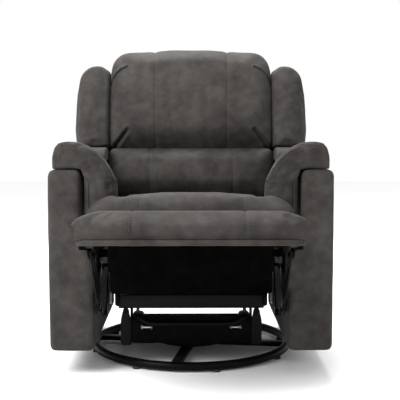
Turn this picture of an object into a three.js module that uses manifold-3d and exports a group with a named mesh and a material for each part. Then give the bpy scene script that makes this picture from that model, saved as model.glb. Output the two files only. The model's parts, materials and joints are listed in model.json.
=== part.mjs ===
// Swivel glider recliner with its footrest open. Millimetres, +Z up, the front faces -Y.
// Modelled round the swivel axis, and moved at the end so that the box is centred on the origin.
// Heights of all that turns are measured from a level that lies riserHeight above the floor.
import * as THREE from 'three';
import { mergeVertices } from 'three/addons/utils/BufferGeometryUtils.js';
import Module from 'manifold-3d';

const wasm = await Module();
wasm.setup();

// Clearances shared by every piece
const gap = 0.3;                // between pieces that touch
const runningGap = 0.5;         // beside a piece that turns
const cutOverrun = 20;          // how far a cutting tool runs past what it cuts
const mergeDistance = 0.0001;
const radians = Math.PI / 180;

// Turning base on the floor
const ringRadius = 322;
const ringTube = 12.5;
const ringHeight = 18.2;
const ringTurn = -9;            // degrees, how far the base stands turned
const footCount = 8;
const footRadius = 15;
const footHeight = 9;
const spokeCount = 4;
const spokeWidth = 30;
const spokeThickness = 14;
const hubRadius = 62;
const gussetReach = 128;
const gussetThickness = 4;
const gussetCorner = 14;
const riserHeight = 15;         // drum under the bearing
const raceInner = 84;
const raceOuter = 128;
const raceHeight = 6;
const ballRadius = 3;
const ballClearance = 1.05;
const raceSplit = 1.2;
const raceSteps = 3;
const ballSides = 6;
const lathedSides = 24;
const tubeSides = 12;
const kingpinRadius = 10;
const kingpinHeadRadius = 20;
const kingpinHeadHeight = 5;

// Platform that turns on the base and carries the hangers
const topPlateSize = 268;
const topPlateThickness = 4;
const topPlateCorner = 24;
const barWidth = 42;
const barHeight = 26;
const barSpacing = 176;
const railX = 190;              // inner face of the platform rails
const railPlate = 4;
const railLength = 470;
const railHeight = 42;
const uprightWidth = 46;
const memberHeight = 86;
const memberDepth = 30;
const memberWall = 3.5;
const memberBump = 9;
const memberBumpWidth = 20;
const memberBumpX = 100;

// Glide hangers
const hangerX = 206;
const hangerPlate = 4;
const hangerLength = 110;
const hangerSpacing = 300;
const hangerRadius = 14;
const hangerTopZ = 300;

// Chair side of the glide
const glideRailX = 222;
const glideRailPlate = 4;
const glideRailRadius = 26;
const glideRailFrontY = -296;
const glideRailRearY = 176;
const crossRailWidth = 25;
const crossRailHeight = 48;
const crossRailDrop = 11.5;     // its lower edge below the hanger pivots
const crossRailRound = 9;
const tubeRadius = 12.7;
const tubeLobe = 18;
const tubeZ = 334;
const frontTubeY = -200;
const rearTubeY = 110;

// Mechanism layers, counted inwards from the arm
const armInnerX = 287;
const sidePlateThickness = 4;
const linkThickness = 4;
const layerGap = 3.4;
const pinRadius = 6;
const pinHoleRadius = 6.4;
const pinHeadRadius = 9.5;
const pinHeadHeight = 2.4;
const stubRadius = 9;
const plateRadius = 21;
const driveRadius = 14;
const linkRadius = 10.5;
const linkBow = 9;

// Footrest linkage at rest, as forward and up from the swivel axis
const kneeOpen = new THREE.Vector2(478, 398);
const tiltOpen = 8;
const kneeClosed = new THREE.Vector2(352, 424);
const tiltClosed = -90;
const drivePivot = new THREE.Vector2(252.8, 300.2);
const driveLength = 153.5;
const driveAngle = -47.3;
const hingeAlong = 46.7;
const hingeBelow = 30.6;
const toeHingeAlong = 111.1;
const toeHingeBelow = 18.6;
const tailAlong = -83.7;
const tailAside = 47.9;
const controlOffset = 109.4;
const crankArm = 63;

// Footrest
const boardLength = 328;
const boardWidth = 572;
const boardThickness = 12;
const boardCorner = 26;
const footrestPadThickness = 66;
const footrestPadHalfWidth = 283;
const footrestPadLip = 8;
const footrestSeamX = 132;
const footrestShares = [0, 0.28, 0.62, 0.8, 0.92, 0.98, 1];
const footrestPower = 7;
const footrestCrown = 4.2;
const footrestSides = 20;
const footrestTaper = 0.1;
const footrestFlatness = 1.3;
const bracketFlange = 22;
const bracketPlate = 3;
const bracketStart = 24;
const bracketEnd = 292;
const bracketDrop = 14;

// Seat
const deckHalfWidth = 250;
const deckFrontY = -340;
const deckRearY = 110;
const deckHeight = 32.4;
const deckRail = 45;
const frontBoardThickness = 8.7;
const frontBoardHeight = 94;
const frontBoardCorner = 10;
const springCount = 4;
const springWire = 2;
const springSwing = 21;
const springWaves = 5;
const springSteps = 4;            // per wave
const springSides = 4;
const springSpacing = 100;
const springDrop = 12;
const tieCount = 2;
const seatHalfWidth = 206;
const seatRearHalfWidth = 286;   // it fills the space between the pads, which widens
const seatRearY = 141;
const seatCrownZ = 530;
const seatRearZ = 494;          // top of the seat where it meets the back
const seatEdge = 30;
const seatOverhang = 6;         // run of the step under it, ahead of the deck
const noseHalfWidth = 305;
const noseFrontY = -447;
const noseDepth = 65;
const noseBottomZ = 441;
const noseTopZ = 537;
const seatSeamX = 142;
const seatShares = [0, 0.2, 0.4, 0.56, 0.76, 0.88, 0.96, 1];
const seatPower = 4.5;
const seamWidth = 8;
const seamStep = 12.8;          // from a seam to the crests beside it
const seamDepth = 5;

// Arms
const armOuterX = 422.5;
const armFrontY = -370;
const armRearY = 300;
const armBottomZ = 61;
const armTopZ = 606;
const armTopInnerX = 326;
const armWaistX = 334;
const armWaistZ = 473;
const armFootZ = 290;
const armCorner = 20;
const armEdge = 15;
const armFaceRise = 4;
const skirtFrontY = 276;
const skirtThickness = 14;
const skirtTopZ = 212;
const skirtEdge = 4;
const padInnerX = 215;
const padRearInnerX = 291;      // the pad narrows and falls towards the back
const padRearTopZ = 656;
const padRearRollRadius = 88;
const padLegX = 321;
const padOuterX = 406;
const padTopZ = 689;
const padRollRadius = 146;
const padLegBottomZ = 430;
const padLip = 8;
const padEdge = 24;
const padDraw = 12;
const padFrontRise = 7;
const padBackGap = 10;

// Back, in a frame that leans: Y is through the back, Z is up along it
const backFrontY = 150;
const backJunctionZ = 500;
const backLean = 17;
const cushionDepth = 118;
const lumbarSetBack = 8;
const lumbarHalfWidth = 294;
const lumbarBottom = -8;
const lumbarTop = 174;
const headHalfWidth = 300.2;
const headBottom = 175;
const headTop = 562;
const backSeamX = 145;
const backShares = [0, 0.25, 0.68, 0.82, 0.92, 0.97, 1];
const backEndDepth = 0.35;
const backSides = 24;
const backCrown = 2.8;
const lumbarEndPower = 6;
const lumbarBulge = 0.04;
const headEndPower = 5;
const headBulge = 0.03;
const shellThickness = 28;
const shellBottom = -160;
const shellTop = 476;
const shellCorner = 60;
const rearPanelThickness = 45;
const rearPanelCorner = 8;
const rearPanelEdge = 15;
const rearPanelDraw = 12;
const rearPanelLowHalfWidth = 281;
const rearPanelTop = 530;
const rearPanelStep = 92;       // it widens here, where it is behind the arms
const wingInnerX = 300.5;
const wingOuterX = 420;
const wingTopOuterX = 416;
const wingFront = 30;
const wingBackLine = 192;
const wingTop = 494;
const wingBottom = 20;
const wingRound = 44;
const wingTopDraw = 33;
const wingTopShares = [[1, 0], [0.62, 0.08], [0.3, 0.3], [0.1, 0.58], [0, 1]];
const wingClearSides = 64;
const wingClearRadius = 352;
const wingTailGap = 12;
const reclinePivot = new THREE.Vector2(180, 315);
const backBracketLow = -118;
const backBracketHigh = 64;

// Release lever in the outer side of the left arm
const bezelY = -212;
const bezelZ = 385;
const bezelLength = 150;
const bezelHeight = 72;
const bezelDepth = 32;
const bezelProud = 1.5;
const bezelWall = 10;
const bezelFloor = 4;
const bezelCorner = 18;
const cupCorner = 1;
const leverLength = 92;
const leverThickness = 6;
const leverBarrel = 4;
const leverCorner = 8;

// Worked out from the sizes above
const hubBottomZ = ringHeight - spokeThickness / 2;
const hubTopZ = ringHeight + spokeThickness / 2;
const gussetTopZ = hubTopZ + gussetThickness;
const lowerRaceZ = gussetTopZ + gap;
const upperRaceZ = lowerRaceZ + raceHeight + raceSplit;
const ballPath = (raceInner + raceOuter) / 2;
const topPlateZ = upperRaceZ + raceHeight;
const platformZ = topPlateZ + topPlateThickness;
const hangerBottomZ = hangerTopZ - hangerLength;
const sidePlateOuter = armInnerX - gap;
const sidePlateInner = sidePlateOuter - sidePlateThickness;
const layerPitch = linkThickness + layerGap;
const driveLayer = sidePlateInner - layerPitch;     // inner faces of the link layers
const frontLayer = driveLayer - layerPitch;
const controlLayer = frontLayer - layerPitch;
const deckBottomZ = tubeZ + tubeLobe + gap;
const deckTopZ = deckBottomZ + deckHeight;
const seatBottomZ = deckTopZ + gap;
const shellFront = cushionDepth + gap;
const shellBack = shellFront + shellThickness;
const rearPanelFront = shellBack + gap;
const shellHalfWidth = driveLayer - gap;

const suede = new THREE.MeshStandardMaterial({ color: 0x53504d, roughness: 0.85, metalness: 0 });
const cloth = new THREE.MeshStandardMaterial({ color: 0x151515, roughness: 0.9, metalness: 0 });
const steel = new THREE.MeshStandardMaterial({ color: 0x101113, roughness: 0.3, metalness: 0.7 });
const zinc = new THREE.MeshStandardMaterial({ color: 0xa9a59c, roughness: 0.4, metalness: 0.9 });
const timber = new THREE.MeshStandardMaterial({ color: 0xb08d5f, roughness: 0.7, metalness: 0 });
const rubber = new THREE.MeshStandardMaterial({ color: 0x1a1a1a, roughness: 0.8, metalness: 0 });
const plastic = new THREE.MeshStandardMaterial({ color: 0x1d1d1f, roughness: 0.45, metalness: 0 });

// Geometry helpers

const sideways = new THREE.Matrix4().makeBasis(
  new THREE.Vector3(0, 1, 0), new THREE.Vector3(0, 0, 1), new THREE.Vector3(1, 0, 0));
const facing = new THREE.Matrix4().makeBasis(
  new THREE.Vector3(1, 0, 0), new THREE.Vector3(0, 0, 1), new THREE.Vector3(0, -1, 0));

// A shape drawn in Y and Z, as a plate from inner to outer in X
function plateX(shape, inner, outer, curveSegments = 3) {
  const geometry = new THREE.ExtrudeGeometry(shape, { depth: outer - inner, bevelEnabled: false, curveSegments });
  geometry.applyMatrix4(sideways);
  return geometry.translate(inner, 0, 0);
}

// A shape drawn in X and Z, as a plate from front to back in Y
function plateY(shape, front, back, curveSegments = 2) {
  const geometry = new THREE.ExtrudeGeometry(shape, { depth: back - front, bevelEnabled: false, curveSegments });
  geometry.applyMatrix4(facing);
  return geometry.translate(0, back, 0);
}

// A shape drawn in X and Y, as a plate from bottom to top in Z
function plateZ(shape, bottom, top, curveSegments = 2) {
  const geometry = new THREE.ExtrudeGeometry(shape, { depth: top - bottom, bevelEnabled: false, curveSegments });
  return geometry.translate(0, 0, bottom);
}

function roundedRectangle(left, bottom, right, top, corner) {
  const shape = new THREE.Shape();
  shape.moveTo(left + corner, bottom);
  shape.lineTo(right - corner, bottom);
  shape.absarc(right - corner, bottom + corner, corner, -Math.PI / 2, 0);
  shape.lineTo(right, top - corner);
  shape.absarc(right - corner, top - corner, corner, 0, Math.PI / 2);
  shape.lineTo(left + corner, top);
  shape.absarc(left + corner, top - corner, corner, Math.PI / 2, Math.PI);
  shape.lineTo(left, bottom + corner);
  shape.absarc(left + corner, bottom + corner, corner, Math.PI, Math.PI * 1.5);
  return shape;
}

function capsule(from, to, radius) {
  const angle = Math.atan2(to.y - from.y, to.x - from.x);
  const shape = new THREE.Shape();
  shape.absarc(from.x, from.y, radius, angle + Math.PI / 2, angle + Math.PI * 1.5);
  shape.absarc(to.x, to.y, radius, angle - Math.PI / 2, angle + Math.PI / 2);
  return shape;
}

// A round bar along X, at a point given in Y and Z
function rodX(from, to, at, radius, sides = 10) {
  const geometry = new THREE.CylinderGeometry(radius, radius, Math.abs(to - from), sides);
  geometry.rotateZ(Math.PI / 2);
  return geometry.translate((from + to) / 2, at.x, at.y);
}

// An upright round bar on the Z axis
function rodZ(bottom, top, radius, sides = lathedSides) {
  const geometry = new THREE.CylinderGeometry(radius, radius, top - bottom, sides);
  return geometry.rotateX(Math.PI / 2).translate(0, 0, (bottom + top) / 2);
}

function block(left, front, bottom, right, back, top) {
  const geometry = new THREE.BoxGeometry(right - left, back - front, top - bottom);
  return geometry.translate((left + right) / 2, (front + back) / 2, (bottom + top) / 2);
}

// The same surface with its corners shared between faces
function mergedCopy(geometry) {
  const bare = geometry.clone();
  bare.deleteAttribute('normal');
  bare.deleteAttribute('uv');
  const merged = mergeVertices(bare, mergeDistance);
  merged.computeVertexNormals();
  return merged;
}

function toSolid(geometry) {
  const merged = mergedCopy(geometry);
  return new wasm.Manifold(new wasm.Mesh({
    numProp: 3,
    vertProperties: new Float32Array(merged.attributes.position.array),
    triVerts: new Uint32Array(merged.index.array),
  }));
}

function toGeometry(solid) {
  const mesh = solid.getMesh();
  const geometry = new THREE.BufferGeometry();
  geometry.setAttribute('position', new THREE.BufferAttribute(mesh.vertProperties, 3));
  geometry.setIndex(new THREE.BufferAttribute(mesh.triVerts, 1));
  geometry.computeVertexNormals();
  return geometry;
}

const join = (first, ...others) => others.reduce((sum, each) => sum.add(each), first);
const cut = (first, ...others) => others.reduce((rest, each) => rest.subtract(each), first);

// A skin over rings of points with as many points each, closed by a fan over a centre at both ends
function loft(rings, firstRise = new THREE.Vector3(), lastRise = new THREE.Vector3()) {
  const count = rings[0].length;
  const points = rings.flat();
  const middle = (ring) => ring.reduce((sum, point) => sum.add(point), new THREE.Vector3())
    .multiplyScalar(1 / ring.length);
  points.push(middle(rings[0]).add(firstRise), middle(rings.at(-1)).add(lastRise));
  const [firstCentre, lastCentre] = [points.length - 2, points.length - 1];
  const faces = [];
  for (let ring = 0; ring < rings.length - 1; ring += 1) {
    for (let step = 0; step < count; step += 1) {
      const next = (step + 1) % count;
      const [a, b] = [ring * count + step, ring * count + next];
      faces.push(a, b, b + count, a, b + count, a + count);
    }
  }
  const last = (rings.length - 1) * count;
  for (let step = 0; step < count; step += 1) {
    const next = (step + 1) % count;
    faces.push(next, step, firstCentre, last + step, last + next, lastCentre);
  }
  const volume = signedVolume(points, faces);
  if (volume < 0) {
    faces.reverse();
  }
  const geometry = new THREE.BufferGeometry().setFromPoints(points);
  geometry.setIndex(faces);
  geometry.computeVertexNormals();
  return geometry;
}

function signedVolume(points, faces) {
  let sum = 0;
  for (let at = 0; at < faces.length; at += 3) {
    const [a, b, c] = [points[faces[at]], points[faces[at + 1]], points[faces[at + 2]]];
    sum += a.dot(new THREE.Vector3().crossVectors(b, c));
  }
  return sum;
}

// Each point of a closed outline moved inwards, square to the outline
function inset(outline, distance) {
  const area = THREE.ShapeUtils.area(outline);
  const inward = Math.sign(area) * distance;
  return outline.map((point, at) => {
    const before = outline.at(at - 1);
    const after = outline[(at + 1) % outline.length];
    const along = new THREE.Vector2().subVectors(after, before).normalize();
    return new THREE.Vector2(point.x - along.y * inward, point.y + along.x * inward);
  });
}

function outlinePoints(shape, divisions) {
  const points = shape.getPoints(divisions);
  return points.filter((point, at) => at === 0 || point.distanceTo(points[at - 1]) > gap)
    .filter((point, at, all) => at < all.length - 1 || point.distanceTo(all[0]) > gap);
}

// Quarter-round steps from an end towards the full outline: how far along, and how far inset
const roundShares = [[0, 1], [0.12, 0.56], [0.38, 0.2], [1, 0]];

// A half-width or half-height that falls off, nearly to zero, at the end of a crowned form
const nearEnd = 0.995;
const swell = (share, power) => (1 - Math.abs(share * nearEnd) ** power) ** (1 / power);

// Shares of a half-width, with three more for a sewn seam and the crests beside it
const withSeam = (shares, seamX, halfWidth) => [...shares,
  ...[seamX - seamStep, seamX, seamX + seamStep].map((x) => x / halfWidth)].sort((a, b) => a - b);

const groove = (distance, width) => Math.exp(-((distance / width) ** 2));

function mirrored(geometry) {
  const copy = mergedCopy(geometry).scale(-1, 1, 1);
  copy.setIndex(Array.from(copy.index.array).reverse());
  return copy;
}

function place(group, name, geometry, material) {
  const mesh = new THREE.Mesh(geometry, material);
  mesh.name = name;
  group.add(mesh);
  return mesh;
}

// The same piece on both sides: the given one is at +X
function placePair(group, name, geometry, material) {
  place(group, `${name}_right`, geometry, material);
  place(group, `${name}_left`, mirrored(geometry), material);
}

// Footrest linkage: the pivots at rest, from lengths that also close it when the footrest is shut

function boardPoint(knee, tilt, along, below) {
  const angle = tilt * radians;
  return new THREE.Vector2(
    knee.x + along * Math.cos(angle) + below * Math.sin(angle),
    knee.y + along * Math.sin(angle) - below * Math.cos(angle));
}

const heading = (angle) => new THREE.Vector2(Math.cos(angle), Math.sin(angle));
const leftOf = (vector) => new THREE.Vector2(-vector.y, vector.x);
const reach = (from, direction, length) => from.clone().addScaledVector(direction, length);
const between = (from, to) => new THREE.Vector2().subVectors(to, from);

// Where two circles meet, the rear one of the two points
function rearMeeting(centreA, radiusA, centreB, radiusB) {
  const line = between(centreA, centreB);
  const apart = line.length();
  const along = (radiusA ** 2 - radiusB ** 2 + apart ** 2) / (2 * apart);
  const aside = Math.sqrt(radiusA ** 2 - along ** 2);
  const direction = line.divideScalar(apart);
  const foot = reach(centreA, direction, along);
  const both = [reach(foot, leftOf(direction), aside), reach(foot, leftOf(direction), -aside)];
  return both[0].x < both[1].x ? both[0] : both[1];
}

function solveLinkage() {
  const hinge = boardPoint(kneeOpen, tiltOpen, hingeAlong, hingeBelow);
  const hingeShut = boardPoint(kneeClosed, tiltClosed, hingeAlong, hingeBelow);
  const toeHinge = boardPoint(kneeOpen, tiltOpen, toeHingeAlong, toeHingeBelow);
  const toeHingeShut = boardPoint(kneeClosed, tiltClosed, toeHingeAlong, toeHingeBelow);
  const elbow = reach(drivePivot, heading(driveAngle * radians), driveLength);
  const frontLength = elbow.distanceTo(hinge);
  const elbowShut = rearMeeting(drivePivot, driveLength, hingeShut, frontLength);
  const tailOf = (from, to) => {
    const direction = between(from, to).normalize();
    return reach(reach(from, direction, tailAlong), leftOf(direction), tailAside);
  };
  const tail = tailOf(elbow, hinge);
  const tailShut = tailOf(elbowShut, hingeShut);
  const middle = tail.clone().add(tailShut).divideScalar(2);
  const controlPivot = reach(middle, leftOf(between(tail, tailShut)).normalize(), -controlOffset);
  // The crank point on the drive link lies as far from the toe hinge open as shut
  const swing = between(drivePivot, elbow).normalize();
  const swingShut = between(drivePivot, elbowShut).normalize();
  const toeLine = between(toeHinge, elbow);
  const toeLineShut = between(toeHingeShut, elbowShut);
  const plain = toeLine.dot(swing) - toeLineShut.dot(swingShut);
  const square = toeLine.dot(leftOf(swing)) - toeLineShut.dot(leftOf(swingShut));
  const wanted = (toeLineShut.lengthSq() - toeLine.lengthSq()) / (2 * crankArm);
  const turn = Math.atan2(square, plain) - Math.acos(wanted / Math.hypot(plain, square));
  const crank = reach(elbow, heading(driveAngle * radians + turn), crankArm);
  return { hinge, toeHinge, elbow, tail, controlPivot, crank, drivePivot };
}

const toSide = (point) => new THREE.Vector2(-point.x, point.y);
const pivots = Object.fromEntries(
  Object.entries(solveLinkage()).map(([name, point]) => [name, toSide(point)]));

// A flat link through its pivots, with round ends and clear holes
function linkPlate(points, radius, layer, holes, thickness = linkThickness) {
  const strips = points.slice(1).map((point, at) =>
    toSolid(plateX(capsule(points[at], point, radius), layer, layer + thickness)));
  const holeTools = holes.map((centre) => toSolid(
    rodX(layer - cutOverrun, layer + thickness + cutOverrun, centre, pinHoleRadius)));
  return cut(join(...strips), ...holeTools);
}

// A pin that goes inwards from one face and ends in a head beyond the layer it holds
function headedPin(from, layer, at) {
  const shank = toSolid(rodX(layer - runningGap, from + gap, at, pinRadius));
  const head = toSolid(rodX(layer - runningGap - pinHeadHeight, layer - runningGap, at, pinHeadRadius));
  return join(shank, head);
}

// A slightly bowed run between two pivots
function bowed(from, to, bow) {
  const direction = between(from, to);
  const square = leftOf(direction).normalize();
  const steps = [0, 0.25, 0.5, 0.75, 1];
  return steps.map((share) => reach(reach(from, direction, share), square, bow * 4 * share * (1 - share)));
}

// Turning base

function buildBase() {
  const base = new THREE.Group();
  base.rotation.z = ringTurn * radians;
  const ring = new THREE.TorusGeometry(ringRadius, ringTube, 8, 48).translate(0, 0, ringHeight);
  place(base, 'base_ring', mergedCopy(ring), steel);
  const clearRing = toSolid(
    new THREE.TorusGeometry(ringRadius, ringTube + gap, 8, 48).translate(0, 0, ringHeight));

  const hub = toSolid(rodZ(hubBottomZ, hubTopZ, hubRadius));
  const gusset = toSolid(plateZ(roundedRectangle(
    -gussetReach / Math.SQRT2, -gussetReach / Math.SQRT2, gussetReach / Math.SQRT2, gussetReach / Math.SQRT2,
    gussetCorner), hubTopZ - gap, gussetTopZ).rotateZ(Math.PI / 4));
  const spokes = Array.from({ length: spokeCount / 2 }, (unused, at) => {
    const bar = block(-ringRadius, -spokeWidth / 2, hubBottomZ, ringRadius, spokeWidth / 2, hubTopZ);
    return toSolid(bar.rotateZ(at * Math.PI / 2));
  });
  const riser = toSolid(rodZ(gussetTopZ - gap, gussetTopZ + riserHeight, raceOuter));
  const pinHole = toSolid(rodZ(0, gussetTopZ + riserHeight + cutOverrun, kingpinRadius + gap));
  place(base, 'base_spokes', toGeometry(cut(join(hub, gusset, riser, ...spokes), clearRing, pinHole)), steel);

  for (let at = 0; at < footCount; at += 1) {
    const foot = toSolid(rodZ(0, footHeight, footRadius, 12).translate(ringRadius, 0, 0));
    const mesh = place(base, `base_foot_${at + 1}`, toGeometry(cut(foot, clearRing)), rubber);
    mesh.rotation.z = (at + 0.5) * 2 * Math.PI / footCount;
  }

  // The bearing's facets stay in line with those of the race above it
  const straight = -ringTurn * radians;
  place(base, 'lower_race', raceGeometry(lowerRaceZ + riserHeight, 1).rotateZ(straight), zinc);
  const bearing = Array.from({ length: ballSides }, (unused, step) => heading((step + 0.5) * 2 * Math.PI / ballSides)
    .multiplyScalar(ballRadius).add(new THREE.Vector2(ballPath, upperRaceZ - raceSplit / 2 + riserHeight)));
  place(base, 'bearing_ring', lathed(bearing).rotateZ(straight), zinc);

  const pinHeadZ = platformZ + riserHeight + gap;
  const nutTop = hubBottomZ - gap;
  const kingpin = lathedSolid([
    [0, nutTop - kingpinHeadHeight], [kingpinHeadRadius, nutTop - kingpinHeadHeight],
    [kingpinHeadRadius, nutTop], [kingpinRadius, nutTop], [kingpinRadius, pinHeadZ],
    [kingpinHeadRadius, pinHeadZ], [kingpinHeadRadius, pinHeadZ + kingpinHeadHeight - gap],
    [0, pinHeadZ + kingpinHeadHeight],
  ]);
  place(base, 'kingpin', kingpin.rotateZ(straight), steel);
  return base;
}

// A ring turned about Z from a closed outline of radius and height
function lathed(outline, segments = lathedSides) {
  const closed = [...outline, outline[0]];
  return outwards(mergedCopy(new THREE.LatheGeometry(closed, segments).rotateX(Math.PI / 2)));
}

// A solid turned about Z from a profile that starts and ends on the axis
function lathedSolid(profile, segments = lathedSides) {
  const points = profile.map(([radius, height]) => new THREE.Vector2(radius, height));
  return outwards(mergedCopy(new THREE.LatheGeometry(points, segments).rotateX(Math.PI / 2)));
}

function outwards(geometry) {
  const position = geometry.attributes.position;
  const points = Array.from({ length: position.count }, (unused, at) =>
    new THREE.Vector3().fromBufferAttribute(position, at));
  const faces = Array.from(geometry.index.array).filter((unused, at, all) => {
    const start = at - at % 3;
    return new Set(all.slice(start, start + 3)).size === 3;
  });
  geometry.setIndex(signedVolume(points, faces) < 0 ? faces.reverse() : faces);
  geometry.computeVertexNormals();
  return geometry;
}

// A flat race with a round groove, on its upper face (side 1) or its lower face (side -1)
function raceGeometry(bottom, side) {
  const face = side > 0 ? bottom + raceHeight : bottom;
  const rear = side > 0 ? bottom : bottom + raceHeight;
  const radius = ballRadius + ballClearance;
  const lip = Math.asin(raceSplit / 2 / radius);
  const outline = [new THREE.Vector2(raceInner, rear), new THREE.Vector2(raceOuter, rear),
    new THREE.Vector2(raceOuter, face)];
  for (let step = 0; step <= raceSteps; step += 1) {
    const angle = lip + step * (Math.PI - 2 * lip) / raceSteps;
    outline.push(new THREE.Vector2(ballPath + Math.cos(angle) * radius,
      face + side * (raceSplit / 2 - Math.sin(angle) * radius)));
  }
  outline.push(new THREE.Vector2(raceInner, face));
  return lathed(outline);
}

// Platform that swivels on the base

function buildPlatform() {
  const platform = new THREE.Group();
  const half = topPlateSize / 2;
  const plate = toSolid(plateZ(roundedRectangle(-half, -half, half, half, topPlateCorner),
    topPlateZ - gap, platformZ));
  const race = toSolid(raceGeometry(upperRaceZ, -1));
  const pinHole = toSolid(rodZ(topPlateZ - cutOverrun, platformZ + cutOverrun, kingpinRadius + runningGap));
  const bars = [-1, 1].map((side) => {
    const middle = side * barSpacing / 2;
    return toSolid(block(-railX + gap, middle - barWidth / 2, platformZ - gap,
      railX - gap, middle + barWidth / 2, platformZ + barHeight));
  });
  place(platform, 'swivel_plate', toGeometry(cut(join(plate, race, ...bars), pinHole)), steel);

  const bottom = platformZ;
  const bar = toSolid(plateX(roundedRectangle(
    -railLength / 2, bottom, railLength / 2, bottom + railHeight, railHeight / 4), railX, railX + railPlate));
  const uprights = [-1, 1].map((side) => {
    const middle = side * hangerSpacing / 2;
    const shape = new THREE.Shape();
    shape.moveTo(middle - uprightWidth, bottom + railHeight - gap);
    shape.lineTo(middle + uprightWidth, bottom + railHeight - gap);
    shape.lineTo(middle + hangerRadius, hangerTopZ);
    shape.absarc(middle, hangerTopZ, hangerRadius, 0, Math.PI);
    return toSolid(plateX(shape, railX, railX + railPlate));
  });
  const pins = [-1, 1].map((side) => {
    const at = new THREE.Vector2(side * hangerSpacing / 2, hangerTopZ);
    const shank = toSolid(rodX(railX + railPlate - gap, hangerX + hangerPlate + runningGap, at, pinRadius));
    const head = toSolid(rodX(hangerX + hangerPlate + runningGap,
      hangerX + hangerPlate + runningGap + pinHeadHeight, at, pinHeadRadius));
    return join(shank, head);
  });
  placePair(platform, 'platform_rail', toGeometry(join(bar, ...uprights, ...pins)), steel);

  const memberWidth = railX - gap;
  const memberBottom = platformZ + memberWall * 2;
  [['platform_front', -1], ['platform_rear', 1]].forEach(([name, side]) => {
    const outer = side * railLength / 2;
    const inner = outer - side * memberDepth;
    const [front, back] = [Math.min(outer, inner), Math.max(outer, inner)];
    const shape = roundedRectangle(-memberWidth, memberBottom, memberWidth, memberBottom + memberHeight,
      memberWall);
    const body = toSolid(plateY(shape, front, back));
    const hollowEnds = [outer - side * memberWall, inner - side * cutOverrun].sort((a, b) => a - b);
    const hollow = toSolid(block(-memberWidth - cutOverrun, hollowEnds[0], memberBottom + memberWall,
      memberWidth + cutOverrun, hollowEnds[1], memberBottom + memberHeight - memberWall));
    const bumps = side > 0 ? [] : [-1, 1].map((way) => toSolid(plateY(
      bumpShape(way * memberBumpX, memberBottom + memberHeight - gap), front, front + memberWall)));
    place(platform, name, toGeometry(join(cut(body, hollow), ...bumps)), steel);
  });
  return platform;
}

function bumpShape(centre, bottom) {
  const shape = new THREE.Shape();
  shape.moveTo(centre - memberBumpWidth / 2, bottom);
  shape.lineTo(centre + memberBumpWidth / 2, bottom);
  shape.quadraticCurveTo(centre, bottom + memberBump * 2, centre - memberBumpWidth / 2, bottom);
  return shape;
}

// Hangers swing on the platform and carry the chair

function buildHangers() {
  const hangers = new THREE.Group();
  [['front_hanger', -1], ['rear_hanger', 1]].forEach(([name, side]) => {
    const top = new THREE.Vector2(side * hangerSpacing / 2, hangerTopZ);
    const bottom = new THREE.Vector2(side * hangerSpacing / 2, hangerBottomZ);
    const link = linkPlate([top, bottom], hangerRadius, hangerX, [top, bottom], hangerPlate);
    placePair(hangers, name, toGeometry(link), steel);
  });
  return hangers;
}

// Metal frame of the chair

function buildChairMetal() {
  const metal = new THREE.Group();
  const frontTube = new THREE.Vector2(frontTubeY, tubeZ);
  const rearTube = new THREE.Vector2(rearTubeY, tubeZ);
  const tubeEnd = sidePlateInner - gap;
  place(metal, 'front_cross_tube', rodX(-tubeEnd, tubeEnd, frontTube, tubeRadius, tubeSides), steel);
  place(metal, 'rear_cross_tube', rodX(-tubeEnd, tubeEnd, rearTube, tubeRadius, tubeSides), steel);

  const crossRailZ = hangerBottomZ - crossRailDrop;
  const crossRail = roundedRectangle(glideRailFrontY - crossRailWidth / 2, crossRailZ,
    glideRailFrontY + crossRailWidth / 2, crossRailZ + crossRailHeight, crossRailRound);
  place(metal, 'lower_cross_rail', plateX(crossRail, gap - glideRailX, glideRailX - gap), steel);

  const railZ = hangerBottomZ + glideRailRadius / 2;
  const railFront = new THREE.Vector2(glideRailFrontY, railZ + glideRailRadius / 4);
  const railRear = new THREE.Vector2(glideRailRearY, railZ);
  const strips = [[railFront, railRear, glideRailRadius],
    [frontTube, new THREE.Vector2(frontTubeY, railZ), tubeLobe],
    [rearTube, new THREE.Vector2(rearTubeY, railZ), tubeLobe]].map(([from, to, radius]) =>
    toSolid(plateX(capsule(from, to, radius), glideRailX, glideRailX + glideRailPlate)));
  const tubeHoles = [frontTube, rearTube].map((at) =>
    toSolid(rodX(glideRailX - cutOverrun, glideRailX + cutOverrun, at, tubeRadius + gap, tubeSides)));
  const rail = cut(join(...strips), ...tubeHoles);
  const pins = [-1, 1].map((side) =>
    headedPin(glideRailX, hangerX, new THREE.Vector2(side * hangerSpacing / 2, hangerBottomZ)));
  placePair(metal, 'glide_rail', toGeometry(join(rail, ...pins)), steel);

  const { drivePivot: drive, controlPivot: control } = pivots;
  const plate = [[drive, frontTube], [frontTube, rearTube], [rearTube, reclinePivot], [drive, control],
    [control, rearTube]].map(([from, to]) =>
    toSolid(plateX(capsule(from, to, plateRadius), sidePlateInner, sidePlateOuter)));
  const platePins = [headedPin(sidePlateInner, driveLayer, drive),
    headedPin(sidePlateInner, driveLayer, reclinePivot), headedPin(sidePlateInner, controlLayer, control)];
  placePair(metal, 'side_plate', toGeometry(join(...plate, ...platePins)), steel);
  return metal;
}

// Wooden seat deck with its springs

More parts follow.
